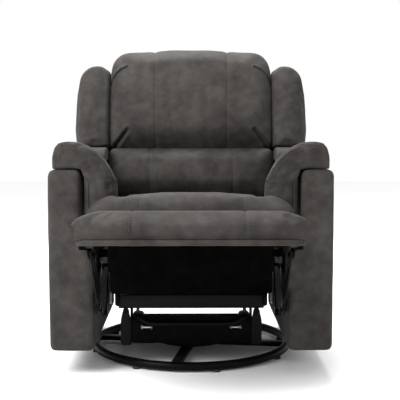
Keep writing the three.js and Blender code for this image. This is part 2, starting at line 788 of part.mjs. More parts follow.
function buildSeatDeck() {
  const deck = new THREE.Group();
  const frame = toSolid(plateZ(roundedRectangle(
    -deckHalfWidth, deckFrontY, deckHalfWidth, deckRearY + deckRail, frontBoardCorner), deckBottomZ, deckTopZ));
  const [innerX, innerFront, innerRear] = [deckHalfWidth - deckRail, deckFrontY + deckRail, deckRearY];
  const opening = toSolid(block(-innerX, innerFront, deckBottomZ - cutOverrun,
    innerX, innerRear, deckTopZ + cutOverrun));
  place(deck, 'seat_deck', toGeometry(cut(frame, opening)), timber);

  const board = roundedRectangle(-deckHalfWidth, deckTopZ - frontBoardHeight, deckHalfWidth, deckTopZ,
    frontBoardCorner);
  place(deck, 'seat_front_board', plateY(board, deckFrontY - gap - frontBoardThickness, deckFrontY - gap), cloth);

  const springZ = deckTopZ - springDrop;
  const springStart = innerFront + gap + springWire;
  const run = innerRear - gap - springWire - springStart;
  const springs = Array.from({ length: springCount }, (unused, at) => {
    const middle = (at - (springCount - 1) / 2) * springSpacing;
    const points = Array.from({ length: springWaves * springSteps + 1 }, (none, step) => {
      const share = step / (springWaves * springSteps);
      const swing = Math.sin(share * springWaves * 2 * Math.PI) * springSwing;
      return new THREE.Vector3(middle + swing, springStart + share * run, springZ);
    });
    return wireAlong(new THREE.CatmullRomCurve3(points), springWaves * springSteps);
  });
  const ties = Array.from({ length: tieCount }, (unused, at) => {
    const tieY = innerFront + (innerRear - innerFront) * (at + 1) / (tieCount + 1);
    return toSolid(rodX(gap - innerX, innerX - gap, new THREE.Vector2(tieY, springZ), springWire, 6));
  });
  place(deck, 'seat_springs', toGeometry(join(...springs, ...ties)), zinc);
  return deck;
}

function wireAlong(path, steps) {
  const section = new THREE.Shape(Array.from({ length: springSides }, (unused, at) =>
    heading(at * 2 * Math.PI / springSides).multiplyScalar(springWire)));
  return toSolid(new THREE.ExtrudeGeometry(section, { steps, extrudePath: path, bevelEnabled: false }));
}

// Seat cushion: a crowned T with two sewn channels

function buildSeatCushion() {
  const noseMiddleZ = (noseTopZ + noseBottomZ) / 2;
  const noseHalfHeight = (noseTopZ - noseBottomZ) / 2;
  const noseRearY = noseFrontY + noseDepth;
  const ring = (y, halfWidth, middleZ, halfHeight, crownShare) => {
    const right = withSeam(seatShares, seatSeamX, halfWidth).map((share) => {
      const x = share * halfWidth;
      const rise = swell(share, seatPower) * halfHeight;
      const dip = groove(x - seatSeamX, seamWidth) * seamDepth * crownShare;
      return [x, rise, dip];
    });
    const top = right.map(([x, rise, dip]) => new THREE.Vector3(x, y, middleZ + rise - dip));
    const under = right.map(([x, rise]) => new THREE.Vector3(x, y, middleZ - rise));
    const flip = (points) => points.slice(1).map((point) => new THREE.Vector3(-point.x, point.y, point.z));
    return [...top, ...under.slice().reverse(), ...flip(under), ...flip(top).reverse()];
  };
  const nose = roundShares.map(([along, inward]) => ring(noseFrontY + along * seatEdge,
    noseHalfWidth - inward * seatEdge, noseMiddleZ, noseHalfHeight - inward * seatEdge, 1 - inward));
  const noseBack = roundShares.slice(1, 3).reverse().map(([along, inward]) => ring(noseRearY - along * seatEdge / 2,
    noseHalfWidth - inward * seatEdge / 2, noseMiddleZ, noseHalfHeight - inward * seatEdge / 2, 1));
  const mainFront = noseRearY + gap;
  const mainRing = (y, bottom, inward) => {
    const share = (y - mainFront) / (seatRearY - mainFront);
    const top = seatCrownZ + (seatRearZ - seatCrownZ) * share;
    const halfWidth = seatHalfWidth + (seatRearHalfWidth - seatHalfWidth) * share;
    return ring(y, halfWidth - inward * seatEdge, (top + bottom) / 2,
      (top - bottom) / 2 - inward * seatEdge, 1 - inward);
  };
  // It overhangs the deck as far as the shut footrest comes up in front of the board
  const main = [[mainFront, noseBottomZ], [deckFrontY - seatOverhang, noseBottomZ], [deckFrontY, seatBottomZ],
    [seatRearY - seatEdge, seatBottomZ]].map(([y, bottom]) => mainRing(y, bottom, 0));
  const rear = roundShares.slice(0, 3).reverse().map(([along, inward]) =>
    mainRing(seatRearY - along * seatEdge, seatBottomZ, inward));
  return loft([...nose, ...noseBack, ...main, ...rear]);
}

// Arms: an upholstered panel with a waisted front, and a pad rolled over it

function armOutline() {
  const shape = new THREE.Shape();
  shape.moveTo(armInnerX + armCorner, armBottomZ);
  shape.lineTo(armOuterX - armCorner, armBottomZ);
  shape.absarc(armOuterX - armCorner, armBottomZ + armCorner, armCorner, -Math.PI / 2, 0);
  shape.lineTo(armOuterX, armTopZ - armCorner);
  shape.absarc(armOuterX - armCorner, armTopZ - armCorner, armCorner, 0, Math.PI / 2);
  shape.lineTo(armTopInnerX + armCorner, armTopZ);
  shape.absarc(armTopInnerX + armCorner, armTopZ - armCorner, armCorner, Math.PI / 2, Math.PI);
  shape.lineTo(armWaistX, armWaistZ);
  const bend = (armWaistZ - armFootZ) / 2;
  shape.bezierCurveTo(armWaistX, armWaistZ - bend, armInnerX, armFootZ + bend, armInnerX, armFootZ);
  shape.lineTo(armInnerX, armBottomZ + armCorner);
  shape.absarc(armInnerX + armCorner, armBottomZ + armCorner, armCorner, Math.PI, Math.PI * 1.5);
  return outlinePoints(shape, 3);
}

function armPanelGeometry() {
  const outline = armOutline();
  const ring = (y, inward) => inset(outline, inward).map((point) => new THREE.Vector3(point.x, y, point.y));
  const front = roundShares.map(([along, inward]) => ring(armFrontY + along * armEdge, inward * armEdge));
  const rear = roundShares.map(([along, inward]) => ring(armRearY - along * armEdge, inward * armEdge));
  return loft([...front, ...rear.reverse()], new THREE.Vector3(0, -armFaceRise, 0));
}

function padOutline(innerX, topZ, rollRadius) {
  const underZ = armTopZ + gap * 2;
  const legRadius = (padLegX - innerX) / 2;
  const rollX = innerX + rollRadius;
  const shape = new THREE.Shape();
  shape.moveTo(innerX, topZ - rollRadius);
  shape.absarc(rollX, topZ - rollRadius, rollRadius, Math.PI, Math.PI / 2, true);
  shape.bezierCurveTo((rollX + padOuterX) / 2, topZ, padOuterX, topZ - padLip * 2, padOuterX,
    (topZ + underZ) / 2);
  shape.lineTo(padOuterX - padLip / 2, underZ + padLip * 2);
  shape.quadraticCurveTo(padOuterX - padLip, underZ, padOuterX - padLip * 3, underZ);
  shape.lineTo(padLegX + padLip * 2, underZ);
  shape.quadraticCurveTo(padLegX, underZ, padLegX, underZ - padLip * 2);
  shape.lineTo(padLegX, padLegBottomZ + legRadius);
  shape.absarc(padLegX - legRadius, padLegBottomZ + legRadius, legRadius, 0, -Math.PI, true);
  return outlinePoints(shape, 4);
}

function armPadGeometry() {
  const outline = padOutline(padInnerX, padTopZ, padRollRadius);
  const rearOutline = padOutline(padRearInnerX, padRearTopZ, padRearRollRadius);
  const slope = Math.tan(backLean * radians);
  const frontY = armFrontY - padLip / 4;
  const rearY = (z) => backFrontY + (z - backJunctionZ) * slope - padBackGap;
  const front = roundShares.map(([along, inward]) => inset(outline, inward * padDraw)
    .map((point) => new THREE.Vector3(point.x, frontY + along * padEdge, point.y)));
  const rear = roundShares.map(([along, inward]) => inset(rearOutline, inward * padDraw)
    .map((point) => new THREE.Vector3(point.x, rearY(point.y) - along * padEdge, point.y)));
  return loft([...front, ...rear.reverse()], new THREE.Vector3(0, -padFrontRise, 0));
}

// Upholstered board that closes the rear between the arms, below the sweep of the back
function skirtGeometry() {
  const halfWidth = armInnerX - gap;
  const outline = outlinePoints(roundedRectangle(-halfWidth, armBottomZ, halfWidth, skirtTopZ, skirtEdge * 2), 2);
  const ring = (y, inward) => inset(outline, inward).map((point) => new THREE.Vector3(point.x, y, point.y));
  const rearY = skirtFrontY + skirtThickness;
  return loft([ring(skirtFrontY, skirtEdge), ring(skirtFrontY + skirtEdge, 0), ring(rearY - skirtEdge, 0),
    ring(rearY, skirtEdge)]);
}

function buildArms() {
  const arms = new THREE.Group();
  place(arms, 'rear_skirt', skirtGeometry(), suede);
  const panel = armPanelGeometry();
  place(arms, 'arm_panel_right', panel, suede);
  const pocket = toSolid(plateX(roundedRectangle(
    bezelY - bezelLength / 2 - gap, bezelZ - bezelHeight / 2 - gap,
    bezelY + bezelLength / 2 + gap, bezelZ + bezelHeight / 2 + gap, bezelCorner),
  -armOuterX - cutOverrun, -armOuterX + bezelDepth + gap));
  place(arms, 'arm_panel_left', toGeometry(cut(toSolid(mirrored(panel)), pocket)), suede);
  placePair(arms, 'arm_pad', armPadGeometry(), suede);

  const outer = plateX(roundedRectangle(bezelY - bezelLength / 2, bezelZ - bezelHeight / 2,
    bezelY + bezelLength / 2, bezelZ + bezelHeight / 2, bezelCorner),
  -armOuterX - bezelProud, -armOuterX + bezelDepth);
  const cup = plateX(roundedRectangle(
    bezelY - bezelLength / 2 + bezelWall, bezelZ - bezelHeight / 2 + bezelWall,
    bezelY + bezelLength / 2 - bezelWall, bezelZ + bezelHeight / 2 - bezelWall, cupCorner),
  -armOuterX - cutOverrun, -armOuterX + bezelDepth - bezelFloor);
  place(arms, 'release_bezel', toGeometry(cut(toSolid(outer), toSolid(cup))), plastic);
  return arms;
}

// Paddle that turns on an upright barrel at the front of its cup
function buildReleaseLever() {
  const group = new THREE.Group();
  const barrelY = bezelY - bezelLength / 2 + bezelWall + leverBarrel + runningGap;
  const halfHeight = bezelHeight / 2 - bezelWall - runningGap;
  const paddle = toSolid(plateX(roundedRectangle(0, -halfHeight + runningGap, leverLength,
    halfHeight - runningGap, leverCorner), -leverThickness / 2, leverThickness / 2));
  const barrel = toSolid(rodZ(-halfHeight, halfHeight, leverBarrel, 12));
  const lever = place(group, 'release_lever', toGeometry(join(paddle, barrel)), plastic);
  lever.position.set(-armOuterX + leverBarrel + gap, barrelY, bezelZ);
  return group;
}

// Links of the footrest mechanism

function buildLinks() {
  const links = new THREE.Group();
  const { hinge, toeHinge, elbow, tail, controlPivot, crank, drivePivot: drive } = pivots;
  const stubs = runningGap - gap;

  const driveLink = join(linkPlate([drive, elbow, crank, drive], driveRadius, driveLayer, [drive]),
    headedPin(driveLayer, frontLayer, elbow), headedPin(driveLayer, frontLayer, crank));
  placePair(links, 'drive_link', toGeometry(driveLink), steel);

  const hingePin = join(
    toSolid(rodX(frontLayer + linkThickness - gap, driveLayer + linkThickness + runningGap, hinge, pinRadius)),
    toSolid(rodX(driveLayer + linkThickness + runningGap,
      driveLayer + linkThickness + runningGap + pinHeadHeight, hinge, pinHeadRadius)));
  const tailStub = toSolid(rodX(controlLayer + linkThickness + gap + stubs, frontLayer + gap, tail, stubRadius));
  const frontLink = join(
    linkPlate([tail, elbow, ...bowed(elbow, hinge, linkBow).slice(1)], linkRadius, frontLayer, [elbow]),
    hingePin, tailStub);
  placePair(links, 'front_link', toGeometry(frontLink), steel);

  const toeStub = toSolid(rodX(frontLayer + linkThickness - gap, driveLayer - gap, toeHinge, stubRadius));
  const toeLink = join(
    linkPlate(bowed(crank, toeHinge, linkBow), linkRadius, frontLayer, [crank]), toeStub);
  placePair(links, 'toe_link', toGeometry(toeLink), steel);

  const controlLink = linkPlate([controlPivot, tail], linkRadius, controlLayer, [controlPivot]);
  const rivet = toSolid(rodX(controlLayer - pinHeadHeight, controlLayer + gap, tail, stubRadius));
  placePair(links, 'control_link', toGeometry(join(controlLink, rivet)), steel);
  return links;
}

// Footrest, in a frame at its knee edge: -Y runs to the toe, +Z is up from the board

function buildFootrest() {
  const footrest = new THREE.Group();
  footrest.position.set(0, -kneeOpen.x, kneeOpen.y);
  footrest.rotation.x = -tiltOpen * radians;

  const board = roundedRectangle(-boardWidth / 2, -boardLength, boardWidth / 2, 0, boardCorner);
  place(footrest, 'footrest_board', plateZ(board, 0, boardThickness), timber);

  const hinge = new THREE.Vector2(-hingeAlong, -hingeBelow);
  const toeHinge = new THREE.Vector2(-toeHingeAlong, -toeHingeBelow);
  const web = roundedRectangle(-bracketEnd, -bracketDrop, -bracketStart, -gap, bracketPlate);
  const lobes = [capsule(hinge, toeHinge, driveRadius),
    capsule(new THREE.Vector2(hinge.x, -driveRadius - gap), hinge, driveRadius)];
  const plates = [web, ...lobes].map((shape) => toSolid(plateX(shape, driveLayer, driveLayer + linkThickness)));
  const above = toSolid(block(0, -boardLength, -gap, armInnerX, boardLength, boardThickness * 2));
  const flange = toSolid(block(driveLayer - bracketFlange, -bracketEnd, -gap - bracketPlate,
    driveLayer + gap, -bracketStart, -gap));
  const hole = toSolid(rodX(driveLayer - cutOverrun, driveLayer + cutOverrun, hinge, pinHoleRadius));
  placePair(footrest, 'footrest_bracket', toGeometry(cut(join(...plates, flange), above, hole)), steel);

  place(footrest, 'footrest_pad', footrestPadGeometry(), suede);
  return footrest;
}

// Pad whose side rings run across the board, drawn in at both ends and at two sewn seams
function footrestPadGeometry() {
  const low = boardThickness + gap;
  const middle = low + footrestPadThickness / 2;
  const halfLength = (boardLength + footrestPadLip) / 2;
  const centreY = -halfLength + footrestPadLip / 4;
  const positive = withSeam(footrestShares, footrestSeamX, footrestPadHalfWidth);
  const across = [...positive.slice(1).reverse().map((share) => -share), ...positive];
  const rings = across.map((share) => {
    const size = swell(share, footrestPower);
    const dip = groove(Math.abs(share) * footrestPadHalfWidth - footrestSeamX, seamWidth) * seamDepth;
    return ringPoints(footrestSides, footrestCrown).map(([alongShare, upShare]) => new THREE.Vector3(
      share * footrestPadHalfWidth,
      centreY + alongShare * (halfLength * (1 - footrestTaper * (1 - size)) - dip / 2),
      upShare < 0 ? middle + upShare * footrestPadThickness / 2 * Math.min(1, size * footrestFlatness)
        : middle + upShare * (footrestPadThickness / 2 * size - dip / 2)));
  });
  return loft(rings);
}

// Points round a superellipse, with flats that reach one unit out to either side
function ringPoints(count, power) {
  const widest = Math.cos(Math.PI / count) ** (2 / power);
  const rounded = (value) => Math.sign(value) * Math.abs(value) ** (2 / power) / widest;
  return Array.from({ length: count }, (unused, at) => {
    const angle = (at + 0.5) * 2 * Math.PI / count;
    return [rounded(Math.cos(angle)), rounded(Math.sin(angle))];
  });
}

// Back, in its leaning frame

function backCushion({ halfWidth, bottom, top, front, endPower, bulge }) {
  const middle = (bottom + top) / 2;
  const halfHeight = (top - bottom) / 2;
  const halfDepth = (cushionDepth - front) / 2;
  const positive = withSeam(backShares, backSeamX, halfWidth);
  const across = [...positive.slice(1).reverse().map((share) => -share), ...positive];
  const rings = across.map((share) => {
    const size = swell(share, endPower);
    const dip = groove(Math.abs(share) * halfWidth - backSeamX, seamWidth) * seamDepth;
    const depth = halfDepth * (backEndDepth + (1 - backEndDepth) * size);
    return ringPoints(backSides, backCrown).map(([depthShare, heightShare]) => new THREE.Vector3(
      share * halfWidth,
      cushionDepth - halfDepth + (depthShare > 0 ? depthShare * halfDepth : depthShare * (depth - dip)
        * (1 - bulge * heightShare)),
      middle + heightShare * (halfHeight * size - dip / 2)));
  });
  return loft(rings);
}

function wingGeometry() {
  const outerAt = (z) => wingOuterX + (wingTopOuterX - wingOuterX) * z / wingTop;
  const levels = [[wingBottom, 0], [wingTop / 2, 0],
    ...wingTopShares.map(([below, inward]) => [wingTop - below * wingRound, inward])];
  return loft(levels.map(([z, inward]) => {
    const outline = outlinePoints(roundedRectangle(wingInnerX, wingFront, outerAt(z), wingBackLine, wingRound), 2);
    return inset(outline, inward * wingTopDraw).map((point) => new THREE.Vector3(point.x, point.y, z));
  }));
}

function buildBack() {
  const back = new THREE.Group();
  back.position.set(0, backFrontY, backJunctionZ);
  back.rotation.x = -backLean * radians;

  place(back, 'lumbar_cushion', backCushion({ halfWidth: lumbarHalfWidth, bottom: lumbarBottom,
    top: lumbarTop, front: lumbarSetBack, endPower: lumbarEndPower, bulge: lumbarBulge }), suede);
  place(back, 'head_pillow', backCushion({ halfWidth: headHalfWidth, bottom: headBottom,
    top: headTop, front: 0, endPower: headEndPower, bulge: headBulge }), suede);

  const shell = roundedRectangle(-shellHalfWidth, shellBottom, shellHalfWidth, shellTop, shellCorner);
  place(back, 'back_shell', plateY(shell, shellFront, shellBack), timber);

  const outlineAt = (halfWidth) => outlinePoints(roundedRectangle(-halfWidth, rearPanelFront, halfWidth,
    rearPanelFront + rearPanelThickness, rearPanelCorner), 2);
  const wideHalfWidth = wingInnerX - gap;
  const panelRings = [[shellBottom, rearPanelLowHalfWidth, rearPanelDraw],
    [shellBottom + rearPanelEdge, rearPanelLowHalfWidth, 0], [rearPanelStep, rearPanelLowHalfWidth, 0],
    [rearPanelStep + rearPanelEdge, wideHalfWidth, 0], [rearPanelTop - rearPanelEdge * 2, wideHalfWidth, 0],
    [rearPanelTop - rearPanelEdge, wideHalfWidth, rearPanelDraw / 3],
    [rearPanelTop, wideHalfWidth - rearPanelEdge, rearPanelDraw]].map(([z, halfWidth, inward]) =>
    inset(outlineAt(halfWidth), inward).map((point) => new THREE.Vector3(point.x, point.y, z)));
  place(back, 'back_rear_panel', loft(panelRings), suede);

  // The wings clear the arms: an arc round the recline pivot, and a tail behind the arms
  const toBack = (point) => {
    const offset = new THREE.Vector2(point.x - backFrontY, point.y - backJunctionZ);
    return offset.rotateAround(new THREE.Vector2(), backLean * radians);
  };
  const pivot = toBack(reclinePivot);
  const sweep = toSolid(rodX(wingInnerX - cutOverrun, wingOuterX + cutOverrun, pivot, wingClearRadius, wingClearSides));
  const behind = block(wingInnerX - cutOverrun * 2, armRearY + wingTailGap, -wingClearRadius,
    wingOuterX + cutOverrun * 2, wingClearRadius * 3, wingClearRadius * 3);
  behind.translate(0, -backFrontY, -backJunctionZ).rotateX(backLean * radians);
  const wing = cut(toSolid(wingGeometry()), cut(sweep, toSolid(behind)));
  placePair(back, 'wing', toGeometry(wing), suede);

  const middle = (shellFront + shellBack) / 2;
  const strap = [toBack(reclinePivot), new THREE.Vector2(middle, backBracketLow),
    new THREE.Vector2(middle, backBracketHigh)];
  const bracket = linkPlate(strap, shellThickness / 2, driveLayer, [pivot]);
  placePair(back, 'back_bracket', toGeometry(bracket), steel);
  return back;
}

// The chair, put together round the swivel axis

const upper = new THREE.Group();
upper.position.z = riserHeight;
upper.add(buildPlatform(), buildHangers(), buildChairMetal(), buildSeatDeck());
place(upper, 'seat_cushion', buildSeatCushion(), suede);
upper.add(buildArms(), buildReleaseLever(), buildLinks(), buildFootrest(), buildBack());

const chair = new THREE.Group();
chair.add(buildBase(), upper);

chair.updateMatrixWorld(true);
const box = new THREE.Box3().setFromObject(chair, true);
chair.position.y = -(box.min.y + box.max.y) / 2;
chair.updateMatrixWorld(true);

export default chair;
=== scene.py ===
import json
import math

import bmesh
import bpy
import numpy as np
from mathutils import Matrix, Vector

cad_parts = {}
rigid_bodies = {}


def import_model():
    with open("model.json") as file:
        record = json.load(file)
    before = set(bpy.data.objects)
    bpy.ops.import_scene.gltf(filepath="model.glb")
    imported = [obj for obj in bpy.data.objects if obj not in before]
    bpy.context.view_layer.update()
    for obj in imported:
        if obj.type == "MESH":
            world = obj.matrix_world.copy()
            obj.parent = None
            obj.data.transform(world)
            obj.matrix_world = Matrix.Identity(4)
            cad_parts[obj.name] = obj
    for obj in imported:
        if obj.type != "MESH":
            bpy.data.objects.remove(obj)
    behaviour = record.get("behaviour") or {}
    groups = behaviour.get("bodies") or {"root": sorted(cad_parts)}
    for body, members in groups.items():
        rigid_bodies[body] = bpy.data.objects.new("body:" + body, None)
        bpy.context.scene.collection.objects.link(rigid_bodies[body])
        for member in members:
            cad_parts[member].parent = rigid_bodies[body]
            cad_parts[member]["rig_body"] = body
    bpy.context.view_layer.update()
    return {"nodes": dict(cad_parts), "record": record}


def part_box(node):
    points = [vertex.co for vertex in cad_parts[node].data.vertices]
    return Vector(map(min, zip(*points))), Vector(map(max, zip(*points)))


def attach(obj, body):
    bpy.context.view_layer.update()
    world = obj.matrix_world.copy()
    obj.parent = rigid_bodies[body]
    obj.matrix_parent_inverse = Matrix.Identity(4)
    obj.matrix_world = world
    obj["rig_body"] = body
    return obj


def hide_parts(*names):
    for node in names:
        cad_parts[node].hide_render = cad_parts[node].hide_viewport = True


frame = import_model()
print("frame loaded with", len(frame["nodes"]), "parts")

# Sizes are millimetres from the swivel axis; each piece is shaped in one of these frames and placed in metres
layout = {
    "riser": (0, 0, 15),        # lifts all that is above the base
    "baseTurn": -9, "backHinge": (0, 150, 500), "backLean": -17,
    "footrestHinge": (0, -478, 398), "footrestLean": -8,
}
swivelY = sum(corner.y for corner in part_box("kingpin")) / 2
toMetres = Matrix.Scale(0.001, 4)
floorPlace = Matrix.Translation((0, swivelY, 0)) @ toMetres
chairPlace = floorPlace @ Matrix.Translation(layout["riser"])
basePlace = floorPlace @ Matrix.Rotation(math.radians(layout["baseTurn"]), 4, "Z")


def leaning(hinge, degrees):
    return chairPlace @ Matrix.Translation(hinge) @ Matrix.Rotation(math.radians(degrees), 4, "X")


backPlace = leaning(layout["backHinge"], layout["backLean"])
footrestPlace = leaning(layout["footrestHinge"], layout["footrestLean"])
sides = (("left", -1), ("right", 1))


# Shading

def setSockets(node, values):
    for socket, value in values.items():
        node.inputs[socket].default_value = value


def newMaterial(name, values):
    material = bpy.data.materials.new(name)
    material.use_nodes = True
    tree = material.node_tree
    shader = tree.nodes["Principled BSDF"]
    setSockets(shader, values)
    return material, tree, shader, tree.nodes.new("ShaderNodeTexCoord").outputs["Object"]


def noiseOf(tree, place, scale, detail=3.0, roughness=0.55, distortion=0.0):
    texture = tree.nodes.new("ShaderNodeTexNoise")
    setSockets(texture, {"Scale": scale, "Detail": detail, "Roughness": roughness, "Distortion": distortion})
    tree.links.new(place, texture.inputs["Vector"])
    return texture.outputs["Fac"]


def mixed(tree, first, second, share):
    blend = tree.nodes.new("ShaderNodeMath")
    blend.operation = "MULTIPLY_ADD"
    setSockets(blend, {1: share})
    tree.links.new(first, blend.inputs[0])
    tree.links.new(second, blend.inputs[2])
    return blend.outputs[0]


def span(tree, value, low, high, fromLow=0.0, fromHigh=1.0):
    mapped = tree.nodes.new("ShaderNodeMapRange")
    setSockets(mapped, {"From Min": fromLow, "From Max": fromHigh, "To Min": low, "To Max": high})
    tree.links.new(value, mapped.inputs["Value"])
    return mapped.outputs["Result"]


def colourBy(tree, shader, value, stops):
    colours = tree.nodes.new("ShaderNodeValToRGB")
    elements = colours.color_ramp.elements
    while len(elements) < len(stops):
        elements.new(0.5)
    for element, (where, colour) in zip(elements, stops):
        element.position = where
        element.color = (*colour, 1)
    tree.links.new(value, colours.inputs["Fac"])
    tree.links.new(colours.outputs["Color"], shader.inputs["Base Color"])


def bumpFrom(tree, shader, height, strength, distance):
    bump = tree.nodes.new("ShaderNodeBump")
    setSockets(bump, {"Strength": strength, "Distance": distance})
    tree.links.new(height, bump.inputs["Height"])
    tree.links.new(bump.outputs["Normal"], shader.inputs["Normal"])


suedeLook = {
    "dark": (0.0195, 0.0172, 0.0160), "middle": (0.0290, 0.0261, 0.0244), "light": (0.0405, 0.0372, 0.0350),
    "cloud": 9, "mottle": 34, "nap": 300,
    "finish": {"Sheen Weight": 0.04, "Sheen Roughness": 0.45, "Specular IOR Level": 0.12},
}


def makeSuede():
    material, tree, shader, place = newMaterial("suede", suedeLook["finish"])
    cloud = noiseOf(tree, place, suedeLook["cloud"], 2, 0.5)
    mottle = noiseOf(tree, place, suedeLook["mottle"], 4, 0.55)
    nap = noiseOf(tree, place, suedeLook["nap"], 3, 0.6)
    patches = mixed(tree, cloud, mottle, 0.9)
    tone = span(tree, mixed(tree, nap, patches, 0.25), 0, 1, 0.78, 1.36)
    colourBy(tree, shader, tone,
             [(0.08, suedeLook["dark"]), (0.5, suedeLook["middle"]), (0.95, suedeLook["light"])])
    tree.links.new(span(tree, mottle, 0.74, 0.92), shader.inputs["Roughness"])
    bumpFrom(tree, shader, mixed(tree, nap, mottle, 0.35), 0.35, 0.0012)
    return material


def makeThread():
    material, tree, shader, place = newMaterial("stitching thread", {"Roughness": 0.7})
    twist = noiseOf(tree, place, 900, 2)
    colourBy(tree, shader, twist, [(0.2, (0.014, 0.0128, 0.012)), (0.8, (0.034, 0.031, 0.029))])
    bumpFrom(tree, shader, twist, 0.4, 0.0004)
    return material


def makeLiningWithPaintedShade():
    # near black, darker than black cloth itself: partly the cloth's own black, partly painted shade of the space
    # under the seat
    finish = {"Roughness": 0.9, "Specular IOR Level": 0.01}
    material, tree, shader, place = newMaterial("black lining cloth and painted shade", finish)
    weave = tree.nodes.new("ShaderNodeTexWave")
    weave.wave_type = "BANDS"
    weave.bands_direction = "DIAGONAL"
    setSockets(weave, {"Scale": 220, "Distortion": 1.5})
    tree.links.new(place, weave.inputs["Vector"])
    patch = noiseOf(tree, place, 30, 3)
    colourBy(tree, shader, patch, [(0.3, (0.0008, 0.0008, 0.0008)), (0.75, (0.0022, 0.0021, 0.0020))])
    bumpFrom(tree, shader, weave.outputs["Fac"], 0.3, 0.0005)
    return material


def makeSteel(name, roughness, specular):
    finish = {"Specular IOR Level": specular, "Coat Weight": 0.02, "Coat Roughness": 0.1}
    material, tree, shader, place = newMaterial(name, finish)
    peel = noiseOf(tree, place, 520, 2)
    dust = noiseOf(tree, place, 45, 4, 0.6)
    colourBy(tree, shader, dust, [(0.35, (0.0012, 0.0012, 0.0013)), (0.8, (0.0036, 0.0036, 0.0038))])
    tree.links.new(span(tree, dust, roughness, roughness + 0.16), shader.inputs["Roughness"])
    bumpFrom(tree, shader, peel, 0.12, 0.0004)
    return material


def makeZinc():
    material, tree, shader, place = newMaterial("bright zinc plate", {"Metallic": 1})
    grain = noiseOf(tree, place, 260, 4, 0.6)
    stain = noiseOf(tree, place, 55, 3)
    colourBy(tree, shader, stain, [(0.3, (0.36, 0.33, 0.27)), (0.7, (0.58, 0.56, 0.52))])
    tree.links.new(span(tree, grain, 0.26, 0.48), shader.inputs["Roughness"])
    bumpFrom(tree, shader, grain, 0.15, 0.0003)
    return material


def makeTimber():
    material, tree, shader, place = newMaterial("sawn timber", {"Roughness": 0.68})
    stretch = tree.nodes.new("ShaderNodeMapping")
    setSockets(stretch, {"Scale": (2, 26, 26)})
    tree.links.new(place, stretch.inputs["Vector"])
    grain = noiseOf(tree, stretch.outputs["Vector"], 3, 6, 0.6, 1.2)
    fibre = noiseOf(tree, stretch.outputs["Vector"], 24, 3, 0.6)
    tone = mixed(tree, fibre, grain, 0.3)
    colourBy(tree, shader, tone,
             [(0.4, (0.23, 0.13, 0.06)), (0.62, (0.40, 0.26, 0.14)), (0.85, (0.55, 0.40, 0.24))])
    bumpFrom(tree, shader, tone, 0.25, 0.0008)
    return material


def makeMoulded(name, dark, light, grainScale, roughness):
    material, tree, shader, place = newMaterial(name, {})
    grain = noiseOf(tree, place, grainScale, 2, 0.5)
    smudge = noiseOf(tree, place, 35, 3)
    colourBy(tree, shader, smudge, [(0.3, dark), (0.75, light)])
    tree.links.new(span(tree, smudge, roughness - 0.08, roughness + 0.08), shader.inputs["Roughness"])
    bumpFrom(tree, shader, grain, 0.3, 0.0004)
    return material


thread = makeThread()
mattSteel = makeSteel("matt black paint", 0.78, 0.01)
bySlot = {
    "suede": makeSuede(), "black_cloth": makeLiningWithPaintedShade(), "black_steel": makeSteel("black powder coat", 0.34, 0.05),
    "zinc_steel": makeZinc(), "timber": makeTimber(),
    "rubber": makeMoulded("matt rubber", (0.010, 0.010, 0.010), (0.022, 0.021, 0.020), 700, 0.8),
    "black_plastic": makeMoulded("grained black moulding", (0.010, 0.010, 0.0105), (0.020, 0.020, 0.021),
                                 1100, 0.5),
}
slotOf = {part["node"]: part["material_slot"] for part in frame["record"]["subparts"]}
for node, cadPart in frame["nodes"].items():
    cadPart.data.materials.clear()
    cadPart.data.materials.append(bySlot[slotOf[node]])
print("materials made")


# Mesh tools

# u, v and thickness taken to the chair's axes: thick towards the viewer, or thick towards +X
seenFromFront = Matrix(((1, 0, 0, 0), (0, 0, -1, 0), (0, 1, 0, 0), (0, 0, 0, 1)))
seenFromSide = Matrix(((0, 0, 1, 0), (1, 0, 0, 0), (0, 1, 0, 0), (0, 0, 0, 1)))
seenFromTop = Matrix.Identity(4)
alongX = Matrix.Rotation(math.pi / 2, 4, "Y")
alongY = Matrix.Rotation(math.pi / 2, 4, "X")


def settle(piece, slot, body, stands=(), material=None):
    piece.data.materials.clear()
    piece.data.materials.append(material or bySlot[slot])
    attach(piece, body)
    if stands:
        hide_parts(*stands)


def upholster(piece, body, stands=()):
    settle(piece, "suede", body, stands)


def addObject(name, data):
    thing = bpy.data.objects.new(name, data)
    bpy.context.scene.collection.objects.link(thing)
    return thing


def pieceFrom(name, shape):
    mesh = bpy.data.meshes.new(name)
    shape.to_mesh(mesh)
    shape.free()
    return addObject(name, mesh)


def makePiece(name, shape, place):
    bmesh.ops.remove_doubles(shape, verts=shape.verts, dist=0.001)
    bmesh.ops.recalc_face_normals(shape, faces=shape.faces)
    piece = pieceFrom(name, shape)
    piece.data.transform(place)
    return piece


def mirrored(shape, side=-1):
    if side < 0:
        bmesh.ops.scale(shape, vec=(-1, 1, 1), verts=shape.verts)
        bmesh.ops.reverse_faces(shape, faces=shape.faces)
    return shape


def mirrorPiece(piece, name, body, stands=()):
    shape = bmesh.new()
    shape.from_mesh(piece.data)
    other = pieceFrom(name, mirrored(shape))
    other.data.shade_smooth()
    upholster(other, body, stands)


def shadeByAngle(piece, degrees):
    piece.data.shade_smooth()
    piece.data.set_sharp_from_angle(angle=math.radians(degrees))


def makeHard(name, shape, slot, body, stands=(), place=chairPlace, degrees=35):
    piece = makePiece(name, shape, place)
    shadeByAngle(piece, degrees)
    settle(piece, slot, body, stands)


def applyModifiers(piece):
    graph = bpy.context.evaluated_depsgraph_get()
    finished = bpy.data.meshes.new_from_object(piece.evaluated_get(graph))
    piece.modifiers.clear()
    former = piece.data
    piece.data = finished
    bpy.data.meshes.remove(former)
    finished.name = piece.name


def vectorsOf(items, name):
    flat = np.empty(len(items) * 3, np.float32)
    items.foreach_get(name, flat)
    return flat.reshape(-1, 3).astype(float)


def pointsOf(piece):
    return vectorsOf(piece.data.vertices, "co")


def movePoints(piece, points):
    piece.data.vertices.foreach_set("co", points.astype(np.float32).ravel())
    piece.data.update()


